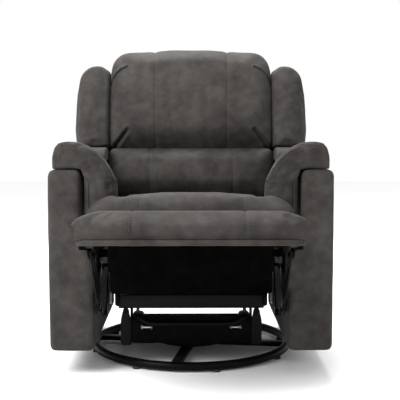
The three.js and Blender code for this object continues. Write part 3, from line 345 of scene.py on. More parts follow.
def shifted(points, matrix):
    return points @ np.array(matrix)[:3, :3].T + np.array(matrix)[:3, 3]


def localPoints(piece, place):
    # a piece's points in a frame, and their three columns, which stay views of them
    local = shifted(pointsOf(piece), place.inverted())
    return local, *local.T


def placePoints(piece, place, local):
    movePoints(piece, shifted(local, place))


def limit(piece, place, low, high, side=1):
    flip = np.array((side, 1, 1))
    local = localPoints(piece, place)[0]
    placePoints(piece, place, np.clip(local * flip, low, high) * flip)


def bevel(shape, items, width, steps, affect="EDGES", clamp=False):
    bmesh.ops.bevel(shape, geom=items, offset=width, segments=steps, profile=0.5, affect=affect,
                    clamp_overlap=clamp, material=-1)


def easeRims(shape, width):
    bevel(shape, [edge for edge in shape.edges if edge.calc_face_angle(0) > math.radians(60)], width, 3)


def setAside(shape):
    # what is tagged is left alone by the slabs that follow
    for item in (*shape.faces, *shape.edges):
        item.tag = True


def bothWays(half):
    # a symmetric outline from the points of its right half, lowest first
    left = [(-u, v, radius) for u, v, radius in half]
    return [left[0], *half, *left[:0:-1]]


def slab(shape, outline, low, high, frontRim, backRim, steps=6, cornerSteps=5):
    # an outline of (u, v, corner radius) in the first two axes, thick along the third
    face = shape.faces.new([shape.verts.new((u, v, low)) for u, v, radius in outline])
    for vert, (u, v, radius) in zip(list(face.verts), outline):
        if radius > 0:
            bevel(shape, [vert], radius, cornerSteps, "VERTICES")

    def fresh(items, level):
        return [item for item in items if not item.tag
                and all(abs(vert.co.z - level) < 0.001 for vert in item.verts)]

    made = bmesh.ops.extrude_face_region(shape, geom=fresh(shape.faces, low))["geom"]
    lifted = [item for item in made if isinstance(item, bmesh.types.BMVert)]
    bmesh.ops.translate(shape, verts=lifted, vec=(0, 0, high - low))
    for level, rim in ((high, frontRim), (low, backRim)):
        if rim > 0:
            edges = [edge for edge in fresh(shape.edges, level) if len(edge.link_faces) == 2
                     and edge.calc_face_angle(0) > math.radians(60)]
            bevel(shape, edges, rim, steps, clamp=True)
    setAside(shape)


def turned(shape, matrix):
    bmesh.ops.transform(shape, matrix=matrix, verts=shape.verts)
    return shape


def slabs(view, *forms):
    shape = bmesh.new()
    for form in forms:
        slab(shape, *form)
    return turned(shape, view)


def cutOff(shape, y):
    # takes off all that lies behind a depth, and closes the cut
    geometry = [*shape.verts, *shape.edges, *shape.faces]
    bmesh.ops.bisect_plane(shape, geom=geometry, plane_co=(0, y, 0), plane_no=(0, 1, 0), clear_outer=True)
    bmesh.ops.holes_fill(shape, edges=[edge for edge in shape.edges if edge.is_boundary])
    setAside(shape)


def cutAway(piece, cutter):
    change = piece.modifiers.new("room", "BOOLEAN")
    change.object = cutter
    change.operation = "DIFFERENCE"
    change.solver = "EXACT"
    applyModifiers(piece)
    bpy.data.objects.remove(cutter)


def addRod(shape, place, radius, length, sides=32, endRadius=None):
    bmesh.ops.create_cone(shape, cap_ends=True, segments=sides, radius1=radius,
                          radius2=endRadius or radius, depth=length, matrix=place)


def soften(piece, rounds):
    smooth = piece.modifiers.new("soften", "SMOOTH")
    smooth.factor = 0.5
    smooth.iterations = rounds
    applyModifiers(piece)


def remesh(piece, size, rounds=6):
    change = piece.modifiers.new("cells", "REMESH")
    change.mode = "VOXEL"
    change.voxel_size = size
    change.use_smooth_shade = True
    soften(piece, rounds)
    piece.data.shade_smooth()


def refine(piece):
    change = piece.modifiers.new("finer", "SUBSURF")
    change.levels = change.render_levels = 1
    applyModifiers(piece)
    piece.data.shade_smooth()


# Fills a closed cushion like a blown-up bag, as far as the cap lets each point go
def inflate(piece, place, look, freedom, frames=14):
    rest = pointsOf(piece)
    share = freedom(*localPoints(piece, place)[1:])
    held = piece.vertex_groups.new(name="held")
    held.add(np.nonzero(share < 0.05)[0].tolist(), 1.0, "REPLACE")
    cloth = piece.modifiers.new("filling", "CLOTH")
    cloth.settings.use_pressure = True
    cloth.settings.uniform_pressure_force = look["pressure"]
    cloth.settings.effector_weights.gravity = 0
    cloth.settings.quality = 5
    cloth.settings.vertex_group_mass = "held"
    cloth.point_cache.frame_start = 1
    cloth.point_cache.frame_end = frames
    scene = bpy.context.scene
    for step in range(1, frames + 1):
        scene.frame_set(step)
    blown = piece.evaluated_get(bpy.context.evaluated_depsgraph_get())
    moved = vectorsOf(blown.to_mesh().vertices, "co") - rest
    blown.to_mesh_clear()
    length = np.linalg.norm(moved, axis=1)
    print(f"  {piece.name}: moves {1000 * length.mean():.1f} mm on average, {1000 * length.max():.1f} mm at most")
    moved *= (np.minimum(1, look["cap"] / np.maximum(length, 1e-9)) * share)[:, None]
    piece.modifiers.clear()
    piece.vertex_groups.clear()
    scene.frame_set(1)
    movePoints(piece, rest + moved)


def rise(value, start, end):
    return np.clip((value - start) / (end - start), 0, 1)


def fade(value, start, end):
    share = rise(value, start, end)
    return share * share * (3 - 2 * share)


def bell(distance, width):
    return np.exp(-(distance / width) ** 2)


def press(piece, depth):
    # pushes the surface in, square to itself, by a depth in millimetres for each point
    normals = vectorsOf(piece.data.vertex_normals, "vector")
    movePoints(piece, pointsOf(piece) - normals * (depth / 1000)[:, None])


def lineDistance(points, path):
    # how far each point is from a path, and how far along the path its nearest place is
    nearest = np.full(len(points), 1e9)
    along = np.zeros(len(points))
    for at, (start, end) in enumerate(zip(path, path[1:])):
        start, end = np.array(start, float), np.array(end, float)
        run = end - start
        share = np.clip(((points - start) @ run) / (run @ run), 0, 1)
        distance = np.linalg.norm(points - start - share[:, None] * run, axis=1)
        closer = distance < nearest
        nearest = np.where(closer, distance, nearest)
        along = np.where(closer, (at + share) / (len(path) - 1), along)
    return nearest, along


def crease(piece, place, path, depth, width, ridge=0.35, share=1.0):
    # a gathered fold: a narrow valley that fades at its far end, with a soft ridge on both sides
    local = localPoints(piece, place)[0]
    if len(path[0]) == 2:        # the path is drawn on the front, whatever its depth
        path, local[:, 1] = [(x, 0, z) for x, z in path], 0
    distance, along = lineDistance(local, path)
    strength = share * np.sin(np.pi * (0.15 + 0.85 * np.clip(1 - along, 0, 1)) / 1.15) ** 0.6
    banks = bell(distance - 2.1 * width, 1.1 * width)
    press(piece, strength * depth * (bell(distance, width) - ridge * banks))


def ripples(points, seed, sizes):
    # gentle unevenness of pulled fabric, as a few slow waves in fixed directions
    draw = np.random.default_rng(seed)
    total = np.zeros(len(points))
    waves = 5
    for size in sizes:
        for turn in range(waves):
            direction = draw.normal(size=3)
            direction /= np.linalg.norm(direction)
            total += np.sin(points @ direction * 2 * math.pi / size + draw.uniform(0, 6.28)) / waves
    return total / len(sizes)


def rumple(piece, place, depth, seed, sizes, share=lambda x, y, z: 1.0):
    local, x, y, z = localPoints(piece, place)
    press(piece, depth * ripples(local, seed, sizes) * share(x, y, z))


stitch = {"length": 7.0, "pitch": 10.5, "thick": 0.75, "rise": 0.26, "fromSeam": 6.5}


def stitchLine(shape, points, normals):
    # lays short thread stitches along a run of points on a surface, in metres
    runs = np.linalg.norm(np.diff(points, axis=0), axis=1)
    reach = np.concatenate([[0], np.cumsum(runs)])
    length = stitch["length"] / 1000

    def at(where, values):
        return np.array([np.interp(where, reach, values[:, axis]) for axis in range(3)])

    for start in np.arange(0.004, reach[-1] - length, stitch["pitch"] / 1000):
        first, last = at(start, points), at(start + length, points)
        run = Vector(last - first)
        if run.length < 1e-5:
            continue
        along = run.normalized()
        across = Vector(at(start, normals)).normalized().cross(along).normalized()
        facing = along.cross(across)
        basis = Matrix((along, across, facing)).transposed().to_4x4()
        thick = stitch["thick"] / 1000
        size = Matrix.Diagonal((run.length / 2, thick, thick, 1))
        where = Matrix.Translation(Vector((first + last) / 2) + facing * stitch["rise"] / 1000)
        bmesh.ops.create_uvsphere(shape, u_segments=6, v_segments=4, radius=1, matrix=where @ basis @ size @ alongX)


def sectionRuns(piece, point, normal, keep):
    # the runs of surface points where a plane cuts a piece, kept where the test says so, in order
    shape = bmesh.new()
    shape.from_mesh(piece.data)
    geometry = [*shape.verts, *shape.edges, *shape.faces]
    cut = bmesh.ops.bisect_plane(shape, geom=geometry, plane_co=point, plane_no=normal, dist=1e-6)
    shape.normal_update()
    near = {}
    for edge in cut["geom_cut"]:
        if isinstance(edge, bmesh.types.BMEdge):
            for vert in edge.verts:
                near.setdefault(vert, []).append(edge.other_vert(vert))
    seen, runs = set(), []
    for first in near:
        if first in seen or not keep(first.co):
            continue
        chain = [first]
        seen.add(first)
        for grow in (chain.append, lambda vert: chain.insert(0, vert)):
            here = first
            while onward := [vert for vert in near[here] if vert not in seen and keep(vert.co)]:
                here = onward[0]
                seen.add(here)
                grow(here)
        if len(chain) > 3:
            runs.append((np.array([vert.co[:] for vert in chain]), np.array([vert.normal[:] for vert in chain])))
    shape.free()
    return runs


def seamSide(seam, through):
    # the direction across a seam that is given by two points of its line
    return (Vector(seam[1]) - Vector(seam[0])).cross(Vector(through)).normalized()


def seamStitches(name, piece, place, seams, through, keep, body):
    # two rows of stitches beside each seam, kept where the test on a point in the piece's frame says so
    shape = bmesh.new()
    back = place.inverted()
    for seam in seams:
        side = seamSide(seam, through)
        facing = (place.to_3x3() @ side).normalized()
        for offset in (-stitch["fromSeam"], stitch["fromSeam"]):
            point = place @ (Vector(seam[0]) + side * offset)
            for points, normals in sectionRuns(piece, point, facing, lambda at: keep(back @ at)):
                stitchLine(shape, points, normals)
    stitches = pieceFrom(name, shape)
    stitches.data.shade_smooth()
    settle(stitches, "suede", body, material=thread)


seamLook = {"width": 3.2, "rowDepth": 0.9, "rowWidth": 1.8, "puff": 1.2, "puffAt": 22, "puffWidth": 11}


def doubleSeams(local, seams, through, depth=2.6):
    # depth of each sunk join and of the two stitched rows beside it
    total = np.zeros(len(local))
    for seam in seams:
        distance = (local - np.array(seam[0])) @ np.array(seamSide(seam, through))
        rows = sum(bell(distance - side * stitch["fromSeam"], seamLook["rowWidth"]) for side in (-1, 1))
        puff = bell(np.abs(distance) - seamLook["puffAt"], seamLook["puffWidth"])
        total += depth * bell(distance, seamLook["width"]) + seamLook["rowDepth"] * rows - seamLook["puff"] * puff
    return total


# Seat cushion: a T whose front falls away over the edge of the deck, and which narrows towards the front

seatLook = {
    "nose": (bothWays([(304, -441, 60), (304, -300, 20)]), 446, 533, 58, 16, 8, 7), "noseEnd": -384,
    "throat": (bothWays([(203, -420, 6), (209, -300, 6)]), 446, 517, 24, 6),
    "middle": (bothWays([(210, -339, 6), (279, 139, 26)]), 387, 517, 24, 10),
    "voxel": 0.005, "pressure": 4, "cap": 0.013, "fill": 0.75,
    "noseFall": 38, "rearFall": 38, "crown": 4, "shoulderFall": 44,
    "seams": [((-140, 0, 0), (-150, -440, 0)), ((140, 0, 0), (150, -440, 0))],
    "low": (-309, -448, 385), "high": (309, 148, 540), "padGap": 2.4, "noseRear": -381.5, "noseUnder": 441.5,
}


def padInnerX(y):
    return 215 + 76 * rise(y, -348, 119)


def makeSeat():
    look = seatLook
    shape = bmesh.new()
    slab(shape, *look["nose"])
    cutOff(shape, look["noseEnd"])
    slab(shape, *look["throat"])
    slab(shape, *look["middle"])
    seat = makePiece("seat_cushion_cover", shape, chairPlace)
    remesh(seat, look["voxel"])
    local, x, y, z = localPoints(seat, chairPlace)
    crown = look["crown"] * np.clip(1 - (x / 215) ** 2, 0, 1)
    z -= look["noseFall"] * rise(-y, 390, 441) ** 1.6 * rise(z, 452, 519)
    z += (crown - look["rearFall"] * rise(y, -382, 141)) * rise(z, 400, 518)
    z -= look["shoulderFall"] * rise(np.abs(x), 228, 308) ** 1.7 * rise(z, 452, 532)
    placePoints(seat, chairPlace, local)

    def freedom(x, y, z):
        underside = np.where(y < -342, 447, 392)
        return fade(z - underside, 0, 26) * (1 - 0.75 * fade(np.abs(x), 200, 250))

    inflate(seat, chairPlace, look, freedom)
    refine(seat)
    local, x, y, z = localPoints(seat, chairPlace)
    upper = np.maximum(fade(z, 462, 484), fade(-y, 425, 440))
    press(seat, doubleSeams(local, look["seams"], (0, 0, 1)) * upper)
    rumple(seat, chairPlace, 1.1, 3, (140, 70), lambda x, y, z: fade(z, 450, 490))
    limit(seat, chairPlace, look["low"], look["high"])

    # between the arm pads it keeps a gap, and its nose stays ahead of them and above the footrest's way
    local, x, y, z = localPoints(seat, chairPlace)
    room = padInnerX(y) - look["padGap"]
    wide = np.abs(x) > room
    ahead = wide & (y < -360)
    y[ahead] = np.minimum(y[ahead], look["noseRear"])
    x[:] = np.where(wide & ~ahead, np.sign(x) * room, x)
    z[:] = np.where(y < -346, np.maximum(z, look["noseUnder"]), z)
    placePoints(seat, chairPlace, local)
    upholster(seat, "chair_frame", ["seat_cushion"])
    seamStitches("seat_stitches", seat, chairPlace, look["seams"], (0, 0, 1),
                 lambda point: point.z > 452 and point.y < 128, "chair_frame")
    print("seat made")


# Footrest: a puffed pad over a wrapped board, with a sewn band round its lower edge

footrestLook = {
    "pad": (bothWays([(289, 9, 6), (299, 40, 0), (297, 73, 44)]), 7, 324, 24, 12, 6, 8),
    "voxel": 0.0045, "pressure": 4, "cap": 0.011, "fill": 0.8,
    "seams": [((-154, 0, 0), (-146, -325, 0)), ((140, 0, 0), (134, -325, 0))],
    "low": (-299, -338, 8.6), "high": (299, 6, 84), "lowerHalf": 286.7, "flare": 9.3,
    "band": (bothWays([(284, -330, 26), (284, -1, 20)]), 0.2, 10.5, 1.5, 4, 3),
    "bandVoxel": 0.0035, "hem": 4, "bandFill": 0.9,
}


def makeFootrest():
    look = footrestLook
    pad = makePiece("footrest_cover", slabs(seenFromFront, look["pad"]), footrestPlace)
    remesh(pad, look["voxel"])
    inflate(pad, footrestPlace, look, lambda x, y, z: fade(z, 11, 26))
    refine(pad)
    local, x, y, z = localPoints(pad, footrestPlace)
    press(pad, doubleSeams(local, look["seams"], (0, 0, 1)) * fade(z, 13, 26))
    rumple(pad, footrestPlace, 1.0, 7, (120, 60), lambda x, y, z: fade(z, 20, 40))
    limit(pad, footrestPlace, look["low"], look["high"])
    local, x, y, z = localPoints(pad, footrestPlace)
    widest = look["lowerHalf"] + look["flare"] * fade(z, 37, 53)       # shut, its lower edge goes between the arms
    x[:] = np.clip(x, -widest, widest)
    placePoints(pad, footrestPlace, local)
    upholster(pad, "footrest", ["footrest_pad"])
    seamStitches("footrest_stitches", pad, footrestPlace, look["seams"], (0, 0, 1),
                 lambda point: point.z > 20, "footrest")

    band = makePiece("footrest_band", slabs(seenFromTop, look["band"]), footrestPlace)
    remesh(band, look["bandVoxel"], 3)
    rumple(band, footrestPlace, 0.5, 11, (90, 40))
    local, x, y, z = localPoints(band, footrestPlace)
    z -= look["hem"] * fade(-y, 299, 308) * (1 - fade(z, 1, 8))        # the sewn hem hangs below the board
    placePoints(band, footrestPlace, local)
    upholster(band, "footrest", ["footrest_board"])
    print("footrest made")


# Back cushions, in the leaning frame of the back

headLook = {
    "cover": "head_pillow_cover", "node": "head_pillow", "stitches": "head_stitches",
    "form": (bothWays([(298, 176, 22), (296, 558, 70)]), -118, -13, 38, 12, 7),
    "voxel": 0.005, "pressure": 4, "cap": 0.016, "fill": 0.7, "soften": 26,
    "seams": [((-129, 0, 180), (-134, 0, 540)), ((129, 0, 180), (134, 0, 540))],
    "folds": [([(297, 422), (288, 440), (273, 456), (256, 467), (234, 475)], 14, 3.4),
              ([(290, 172), (261, 200), (231, 234)], 17, 6.5)],
    "profile": (355, 190, 3, 32), "topShare": 0.35, "panelDrop": 9, "seed": 21,
    "low": (-299.5, -6, 175.2), "high": (299.5, 118.1, 574),
}
lumbarLook = {
    "cover": "lumbar_cover", "node": "lumbar_cushion", "stitches": "lumbar_stitches",
    "form": (bothWays([(294, -2, 24), (298, 176, 16)]), -118, -19, 14, 12, 7),
    "voxel": 0.005, "pressure": 4, "cap": 0.014, "fill": 0.7, "soften": 18,
    "seams": [((-150, 0, 0), (-149, 0, 174)), ((150, 0, 0), (149, 0, 174))], "folds": [],
    "profile": (112, 118, 2.4, 24), "topShare": 0.3, "panelDrop": 0, "seed": 25,
    "low": (-299, 4, -8), "high": (299, 118.1, 174.4),
}


def makeBackCushion(look):
    cushion = makePiece(look["cover"], slabs(seenFromFront, look["form"]), backPlace)
    remesh(cushion, look["voxel"])
    inflate(cushion, backPlace, look, lambda x, y, z: 1 - fade(y, 100, 114))
    soften(cushion, look["soften"])
    refine(cushion)
    local, x, y, z = localPoints(cushion, backPlace)
    z -= look["panelDrop"] * fade(np.abs(x), 70, 152) * fade(z, 400, 520)
    middle, halfHeight, power, tuck = look["profile"]
    away = np.clip(np.abs(z - middle) / halfHeight, 0, 1.1) ** power * np.where(z > middle, look["topShare"], 1)
    aside = np.clip(np.abs(x) / 290, 0, 1.1) ** 5
    y += (tuck * away + 12 * aside) * (1 - fade(y, 30, 112))
    placePoints(cushion, backPlace, local)
    front = 1 - fade(y, 70, 105)
    press(cushion, doubleSeams(local, look["seams"], (0, 1, 0), 3.2) * front)
    for path, depth, width in look["folds"]:
        for name, side in sides:
            crease(cushion, backPlace, [(side * x, z) for x, z in path], depth, width, 0.16, front)
    rumple(cushion, backPlace, 1.2, look["seed"], (150, 75), lambda x, y, z: 1 - fade(y, 60, 100))
    limit(cushion, backPlace, look["low"], look["high"])
    upholster(cushion, "back", [look["node"]])
    seamStitches(look["stitches"], cushion, backPlace, look["seams"], (0, 1, 0), lambda point: point.y < 78, "back")


# Wings, cut to clear the arms as the back leans

wingLook = {
    "outer": ([(303, -20, 20), (421, -20, 20), (421, 220, 0), (411, 495, 62), (301, 495, 46)],
              -189, -32, 54, 26, 8, 8),
    "inner": ([(299, -20, 8), (360, -20, 8), (360, 490, 30), (322, 487, 20), (299, 477, 6)],
              -189, -60, 6, 4, 3, 4),
    "voxel": 0.005, "pressure": 3, "cap": 0.008, "fill": 0.8,
    "pivotY": 180, "pivotZ": 315, "reach": 353, "behindArms": 313,
    "low": (300.5, 22, 18), "high": (433, 196, 503),
}


def makeWings():
    look = wingLook
    wing = makePiece("wing_cover_right", slabs(seenFromFront, look["outer"], look["inner"]), backPlace)
    remesh(wing, look["voxel"], 2)
    clear = bmesh.new()
    addRod(clear, Matrix.Translation((360, look["pivotY"], look["pivotZ"])) @ alongX, look["reach"] + 1, 260, 96)
    cutOff(clear, look["behindArms"])
    cutAway(wing, makePiece("wing_clearance", clear, chairPlace))
    remesh(wing, look["voxel"], 8)
    inflate(wing, backPlace, look, lambda x, y, z: fade(x, 306, 318))
    refine(wing)
    rumple(wing, backPlace, 1.2, 31, (160, 80))
    clearArms(wing)
    limit(wing, backPlace, look["low"], look["high"])
    upholster(wing, "back", ["wing_right"])
    mirrorPiece(wing, "wing_cover_left", "back", ["wing_left"])
    print("wings made")


def clearArms(piece):
    # a point inside the arms' reach goes out to its rim or behind it, whichever is nearer
    local, x, y, z = localPoints(piece, chairPlace)
    pivot = np.array((wingLook["pivotY"], wingLook["pivotZ"]))
    offset = local[:, 1:] - pivot
    distance = np.linalg.norm(offset, axis=1)
    inside = (distance < wingLook["reach"]) & (y < wingLook["behindArms"] - 0.5)
    scale = np.where(inside, wingLook["reach"] / np.maximum(distance, 1), 1)
    outward, backward = local.copy(), local.copy()
    outward[:, 1:] = pivot + offset * scale[:, None]
    backward[:, 1] = np.where(inside, wingLook["behindArms"], y)
    nearer = (np.abs(outward - local).sum(axis=1) < np.abs(backward - local).sum(axis=1))[:, None]
    placePoints(piece, chairPlace, np.where(nearer, outward, backward))


# Arms: waisted panels under rolled pads

padLook = {
    "front": (221, 688, 142), "rear": (296, 652, 82), "frontY": -366, "frontRim": 16,
    "voxel": 0.0045, "pressure": 4, "cap": 0.007, "fill": 0.75,
    "outerX": 412, "legX": 324, "panelTop": 586.5, "panelCornerX": 402, "panelCorner": 20,
    # depth and half width of the folds that run out of the roll's inner corner
    "folds": [([(322, -374, 603), (306, -378, 578), (298, -378, 545), (292, -378, 505)], 5.5, 7),
              ([(322, -374, 608), (296, -378, 594), (266, -378, 574)], 5.0, 8),
              ([(392, -374, 628), (360, -378, 629), (332, -378, 624), (316, -378, 612)], 4.5, 6),
              ([(300, -378, 600), (280, -378, 560), (262, -378, 500)], 3.0, 12)],
}
shoulderLook = {
    "form": ([(140, 606.8, 4), (307, 606.8, 8), (307, 637, 10), (270, 649, 0), (232, 657, 0), (180, 659, 24),
              (140, 640, 20)], 303.6, 413, 14, 5, 5, 5),
    "voxel": 0.004, "fill": 0.9, "low": (303.2, 130, 606.6), "high": (414, 308.5, 660),
}


def arcPoints(centreX, centreZ, radius, startDegrees, endDegrees, steps):
    angles = np.radians(np.linspace(startDegrees, endDegrees, steps))
    return [(centreX + radius * math.cos(angle), centreZ + radius * math.sin(angle)) for angle in angles]


def padSection(innerX, topZ, rollRadius):
    # the roll's section seen from the front, from its inner foot over the top to the outer lip
    outerX, lipZ, legX, footZ = 409, 641, 317, 433
    rollX, rollZ = innerX + rollRadius, topZ - rollRadius
    footRadius = (legX - innerX) / 2
    over = [(rollX + (outerX - rollX) * along, topZ - (topZ - lipZ) * fall) for along, fall in
            ((0.35, 0.02), (0.62, 0.1), (0.86, 0.4), (1, 1))]
    under = [(outerX, 618), (outerX, 602), (398, 606), (332, 608.5), (322, 606), (legX, 596)]
    foot = arcPoints(legX - footRadius, footZ + footRadius, footRadius, 0, -180, 9)
    return [*arcPoints(rollX, rollZ, rollRadius, 180, 90, 11), *over, *under, (legX, footZ + footRadius), *foot[1:]]


def padRearY(z):
    hinge, lean = layout["backHinge"], layout["backLean"]
    return hinge[1] + (z - hinge[2]) * math.tan(math.radians(-lean))


def makeArmPads():
    look = padLook
    shape = bmesh.new()
    faces = [shape.faces.new([shape.verts.new((x, look["frontY"], z)) for x, z in padSection(*look["front"])]),
             shape.faces.new([shape.verts.new((x, padRearY(z) - 13, z)) for x, z in padSection(*look["rear"])])]
    bmesh.ops.bridge_loops(shape, edges=[edge for face in faces for edge in face.edges])
    bmesh.ops.recalc_face_normals(shape, faces=shape.faces)
    bevel(shape, list(faces[0].edges), look["frontRim"], 5, clamp=True)
    pad = makePiece("arm_pad_cover_right", shape, chairPlace)
    remesh(pad, look["voxel"], 5)

    def freedom(x, y, z):
        onPanel = (z < 612) & (x > 312) & (x < 398)
        return np.where(onPanel, 0.0, 1.0) * (1 - 0.7 * fade(y, 60, 120))

    inflate(pad, chairPlace, look, freedom)
    refine(pad)
    dressPad(pad)
    local, x, y, z = localPoints(pad, chairPlace)
    y[:] = np.clip(y, -381, padRearY(z) - 6)
    x[:] = np.clip(x, padInnerX(y) - 1.2, look["outerX"])
    # the leg stays inside the panel, and the roll rests on its top and just over its outer corner
    corner = look["panelCorner"]
    panelTop = look["panelTop"] + np.sqrt(corner ** 2 - np.clip(x - look["panelCornerX"], 0, corner) ** 2)
    beside = (z < panelTop) & (x > look["legX"])
    nearTop = beside & (z > 592)
    z[nearTop] = panelTop[nearTop]
    x[beside & ~nearTop] = look["legX"]
    placePoints(pad, chairPlace, local)
    upholster(pad, "chair_frame", ["arm_pad_right"])
    mirrorPiece(pad, "arm_pad_cover_left", "chair_frame", ["arm_pad_left"])

    # the pad runs out behind the wing's curve into a low shoulder that the leaning back passes over
    look = shoulderLook
    shoulder = makePiece("arm_shoulder_right", slabs(seenFromSide, look["form"]), chairPlace)
    remesh(shoulder, look["voxel"], 5)
    rumple(shoulder, chairPlace, 0.8, 45, (120, 60))
    limit(shoulder, chairPlace, look["low"], look["high"])
    upholster(shoulder, "chair_frame")
    mirrorPiece(shoulder, "arm_shoulder_left", "chair_frame")
    print("arm pads made")


def dressPad(pad):
    # the front panel is sewn in along the roll's edge, and creases run out of the inner corner
    local, x, y, z = localPoints(pad, chairPlace)
    front = 1 - fade(y, -362, -345)
    rim = [(x, -371, z) for x, z in
           [(230, 480), *arcPoints(361, 543, 131, 180, 92, 10), (376, 672), (390, 655), (392, 632)]]
    distance = lineDistance(local, rim)[0]
    press(pad, front * (2.2 * bell(distance, 3) - 1.8 * bell(distance - 7, 4)))
    leg = [(311, -371, 588), (309, -371, 545), (309, -371, 470), (300, -371, 445)]
    distance = lineDistance(local, leg)[0]
    press(pad, front * (1.8 * bell(distance, 2.6) + 0.8 * bell(distance - 6, 2)))
    press(pad, front * 15 * fade(x, 262, 318) * (1 - fade(z, 560, 596)))
    # a soft ridge along the lower edge of the roll, which turns down into the leg
    ridge = [(387, -371, 615), (360, -371, 614), (334, -371, 611), (320, -371, 600), (312, -371, 584)]
    distance = lineDistance(localPoints(pad, chairPlace)[0], ridge)[0]
    press(pad, front * (-2.4 * bell(distance, 5)))
    for path, depth, width in padLook["folds"]:
        crease(pad, chairPlace, path, depth, width)
    rumple(pad, chairPlace, 1.1, 41, (130, 65))


panelLook = {
    # its inner side comes in below the waist, where the shut footrest stands beside it
    "form": ([(288, 61.5, 18), (422, 61.5, 16), (422, 605.5, 20), (326, 605.5, 18), (326.6, 560, 0), (327, 473, 0),
              (326.6, 445, 0), (323.5, 418, 0), (316, 392, 0), (306, 366, 0), (296, 338, 0), (290, 312, 0),
              (287.6, 290, 0)], -299, 370, 13, 13, 4, 4),
    "voxel": 0.0052, "fill": 0.95, "low": (287.2, -375, 60.5), "high": (424.5, 301, 606),
    "cupY": -212, "cupZ": 385, "cupHalf": (75, 36),
    "pocket": ([(-287.5, 348.5, 18), (-136.5, 348.5, 18), (-136.5, 421.5, 18), (-287.5, 421.5, 18)],
               -460, -390, 0, 0),
    "seam": [(417, -364, 76), (417, -364, 596)],        # front and side are sewn a little way round the corner
}


def makeArmPanels():
    look = panelLook
    for name, side in sides:
        shape = mirrored(slabs(seenFromFront, look["form"]), side)
        panel = makePiece(f"arm_panel_cover_{name}", shape, chairPlace)
        if side < 0:
            cutAway(panel, makePiece("cup_pocket", slabs(seenFromSide, look["pocket"]), chairPlace))
        remesh(panel, look["voxel"], 6)
        local, x, y, z = localPoints(panel, chairPlace)
        middle = fade(z, 61, 200) * (1 - fade(z, 480, 606))
        swell = 3.0 * middle * fade(-y, 355, 368)
        awayFromCup = 1.0
        if side < 0:
            halfY, halfZ = look["cupHalf"]
            gap = np.maximum(np.abs(y - look["cupY"]) - halfY, np.abs(z - look["cupZ"]) - halfZ)
            awayFromCup = fade(gap, 4, 40)
        press(panel, 0.9 * ripples(local, 51, (190, 95)) * awayFromCup - swell)
        distance = lineDistance(localPoints(panel, chairPlace)[0] * (side, 1, 1), look["seam"])[0]
        press(panel, 1.6 * bell(distance, 3) - 0.8 * bell(distance - 8, 4))
        limit(panel, chairPlace, look["low"], look["high"], side)
        upholster(panel, "chair_frame", [f"arm_panel_{name}"])
    print("arm panels made")


# Back of the chair: one padded panel, whose top is turned over the shell's edge, and a skirt under it

rearLook = {
    "lower": (bothWays([(280, -159, 16), (280, 120, 6)]), -190, -147.5, 6, 12, 4, 4),
    "upper": (bothWays([(302, 100, 12), (302, 528, 14)]), -190, -147.5, 3, 14, 4, 6),
    "turnover": (bothWays([(295, 500, 8), (295, 526, 26)]), -165, -108, 8, 4, 4, 5),
    "voxel": 0.005, "fill": 0.9, "low": (-300.1, 106, -160), "high": (300.1, 197, 531),
    "seamZ": 300, "sideSeamX": 268,
}
skirtLook = {
    "form": (bothWays([(286.2, 61.8, 8), (286.2, 211.4, 6)]), -289.4, -276.4, 3, 5, 3, 3),
    "voxel": 0.004, "fill": 0.95, "low": (-286.5, 276.1, 61.2), "high": (286.5, 291, 211.9), "hemZ": 82,
}


def makeRear():
    look = rearLook
    shape = slabs(seenFromFront, look["lower"], look["upper"], look["turnover"])
    panel = makePiece("rear_panel_cover", shape, backPlace)
    remesh(panel, look["voxel"], 6)
    local, x, y, z = localPoints(panel, backPlace)
    seam = 3.0 * bell(z - look["seamZ"], 3) + 1.4 * bell(np.abs(x) - look["sideSeamX"], 3)
    press(panel, fade(y, 165, 185) * (seam - 2.0) + 0.9 * ripples(local, 61, (200, 90)))
    limit(panel, backPlace, look["low"], look["high"])
    upholster(panel, "back", ["back_rear_panel"])

    look = skirtLook
    skirt = makePiece("rear_skirt_cover", slabs(seenFromFront, look["form"]), chairPlace)
    remesh(skirt, look["voxel"], 3)
    local, x, y, z = localPoints(skirt, chairPlace)
    hem = 1.2 * bell(z - look["hemZ"], 2)
    press(skirt, (hem + 0.7 * ripples(local, 65, (170, 80))) * fade(y, 278, 288))
    limit(skirt, chairPlace, look["low"], look["high"])
    upholster(skirt, "chair_frame", ["rear_skirt"])
    print("rear panel and skirt made")


# Front lining under the seat: a wrapped board, and below it a black cloth hung down to the cross rail, a
# painted-shade sheet that keeps the opening under the seat dark

liningLook = {
    "board": (bothWays([(249, 296, 9), (249, 384, 9)]), 340.5, 348.5, 2.5, 2, 3, 3),
    # the hanging cloth fills the opening under the seat, where there is only shade: painted shade, not a part of
    # the chair's build
    "cloth": (bothWays([(243, 231, 6), (243, 304, 6)]), 340.5, 344, 1, 1, 2, 3),
    "voxel": 0.003,
}


def makeLiningBoard():
    shape = slabs(seenFromFront, liningLook["board"], liningLook["cloth"])
    board = makePiece("seat_front_lining", shape, chairPlace)
    remesh(board, liningLook["voxel"], 2)
    rumple(board, chairPlace, 0.4, 71, (110, 45), lambda x, y, z: fade(-y, 342, 344))
    settle(board, "black_cloth", "chair_frame", ["seat_front_board"])


makeSeat()
makeFootrest()
makeBackCushion(headLook)
makeBackCushion(lumbarLook)
print("back cushions made")
makeWings()
makeArmPads()
makeArmPanels()
makeRear()
makeLiningBoard()


# Metalwork: the frame's own shapes with eased edges

easedLook = {
    "width": 0.7, "sharp": 48, "smooth": 34,
    "plain": ["base_spokes", "swivel_plate", "platform_front", "lower_race", "kingpin", "release_bezel",
              "release_lever", "seat_deck", "back_shell", "lower_cross_rail"],
    "paired": ["platform_rail", "front_hanger", "rear_hanger", "glide_rail", "side_plate", "drive_link",
               "front_link", "toe_link", "control_link", "footrest_bracket", "back_bracket"],
    "wrapped": ("back_shell", "seat_deck"),        # boards in lining cloth
    "matt": ("side_plate", "platform", "swivel"),
}


